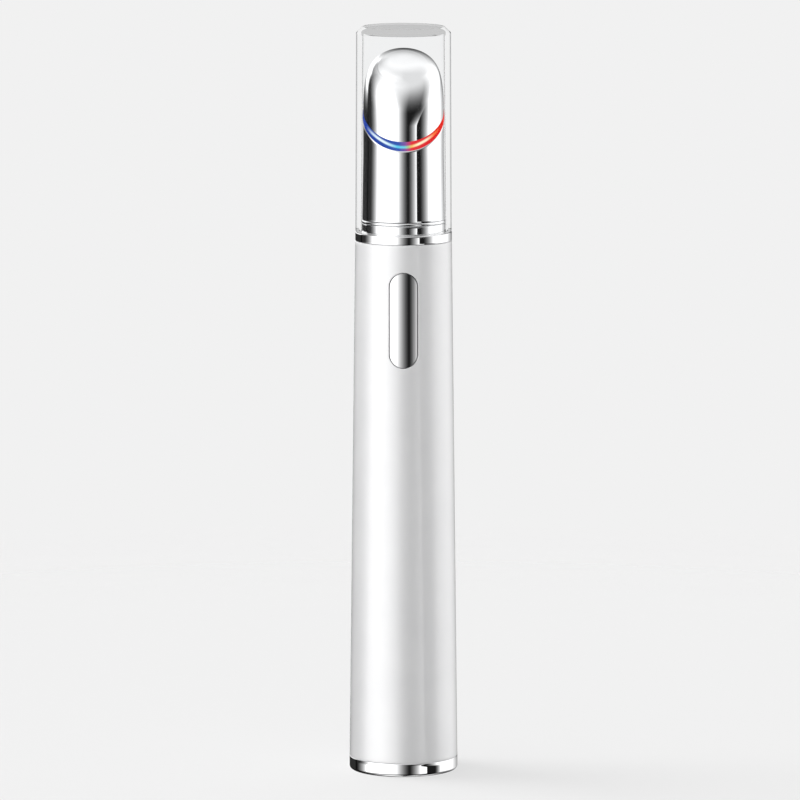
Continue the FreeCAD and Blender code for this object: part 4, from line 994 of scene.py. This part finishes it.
def makeStudio():
    s = studioSettings
    world = bpy.data.worlds.new("studio")
    bpy.context.scene.world = world
    world.cycles.sampling_method = "NONE"
    kit = NodeKit(world)
    across, back, up = kit.axes(kit.add("TexCoord", output="Generated"))
    turn = kit.add("Math", {"operation": "ARCTAN2"}, {0: across, 1: 0 - back}) * (180 / math.pi)
    rise = up.math("ARCSINE") * (180 / math.pi)
    grey = studioTone(turn, rise)
    key = turn.band(*s["keySides"]) * rise.ramp(*s["keyRise"], s["keyPanel"], 0.0)
    heart = (grey ** s["heartPower"]) * s["panelHeart"]
    panels = (grey ** s["panelPower"]) * (key + heart + s["panel"])
    shade = turn.band(*s["shadeSides"]) * s["rightShade"]
    fill = turn.band(*s["sideSides"]) * s["sideFill"] + (1 - shade) * s["fill"]

    # what is seen depends on what the light met on its way
    bounces, crossings, scatters = kit.outlets(
        kit.add("LightPath"), ("Glossy Depth", "Transmission Depth", "Diffuse Depth"))
    insideWall = (crossings > 0.5) * (crossings < 3.5)   # light caught in the clear wall
    lid = ((rise > 0) + (bounces > 1.5)).math("MINIMUM", 1.0)   # light that ran along the cap's lid
    caught = s["background"] * (1 - lid * s["lidShade"])
    seen = panels + (caught - panels) * insideWall
    level = s["background"] + (seen - s["background"]) * (bounces > 0.5)
    level = level + (fill - level) * (scatters > 0.5)
    tone = kit.add("CombineXYZ", None, {0: level, 1: level, 2: level})
    kit.add("OutputWorld", None, {0: kit.add("Background", None, {0: tone})})


floorSettings = {
    "radius": 300, "drop": 0.05,           # a hair below the foot
    "fadeFrom": 0.6, "fadeTo": 0.98,       # shares of the radius between which it fades out
    "tone": 0.6, "lift": 0.50,             # lift is the light that the camera alone sees added to it
}


def makeFloor():
    s = floorSettings
    radius = s["radius"] * mm
    bm = bmesh.new()
    bmesh.ops.create_circle(bm, cap_ends=True, segments=96, radius=radius,
                            matrix=Matrix.Translation((0, 0, -s["drop"] * mm)))
    mesh = bpy.data.meshes.new("studioFloor")
    bm.to_mesh(mesh)
    bm.free()
    floor = bpy.data.objects.new("studioFloor", mesh)
    bpy.context.scene.collection.objects.link(floor)
    floor.visible_glossy = False        # metal and glass meet the studio's own pale floor instead
    floor.visible_transmission = False
    material, kit = newFinish("paleFloor")
    across, back = kit.axes(kit.place())[:2]
    away = (across * across + back * back) ** 0.5
    seen = kit.add("LightPath", output="Is Camera Ray")
    matt = kit.add("BsdfDiffuse", None, {0: colour(*[s["tone"]] * 3)})
    glow = kit.add("Emission", None, {0: colour(1, 1, 1)})
    body = kit.add("MixShader", None, {0: seen * s["lift"], 1: matt, 2: glow})
    clear = kit.add("BsdfTransparent")
    fade = away.ramp(radius * s["fadeFrom"], radius * s["fadeTo"], soft=True)
    fade = fade.math("MAXIMUM", kit.add("NewGeometry", output="Backfacing"))   # clear from below
    kit.add("OutputMaterial", None, {0: kit.add("MixShader", None, {0: fade, 1: body, 2: clear})})
    floor.data.materials.append(material)


makeStudio()
makeFloor()
print("studio set")


cameraSettings = {
    "aim": (-0.64, 0.0, 68.66), "distance": 1300, "pitch": 8.0,
    "lens": 318.3, "sensor": 36.0, "reach": 20000,
}


def makeCamera():
    s = cameraSettings
    pitch = math.radians(s["pitch"])
    view = bpy.data.cameras.new("camera")
    view.lens = s["lens"]
    view.sensor_width = s["sensor"]
    view.clip_end = s["reach"] * mm
    camera = bpy.data.objects.new("camera", view)
    bpy.context.scene.collection.objects.link(camera)
    away = Vector((0, -math.cos(pitch), math.sin(pitch)))
    camera.location = Vector(s["aim"]) * mm + away * (s["distance"] * mm)
    camera.rotation_euler = (math.pi / 2 - pitch, 0, 0)
    bpy.context.scene.camera = camera


makeCamera()
bpy.context.scene.view_settings.view_transform = "Standard"
print("camera set")
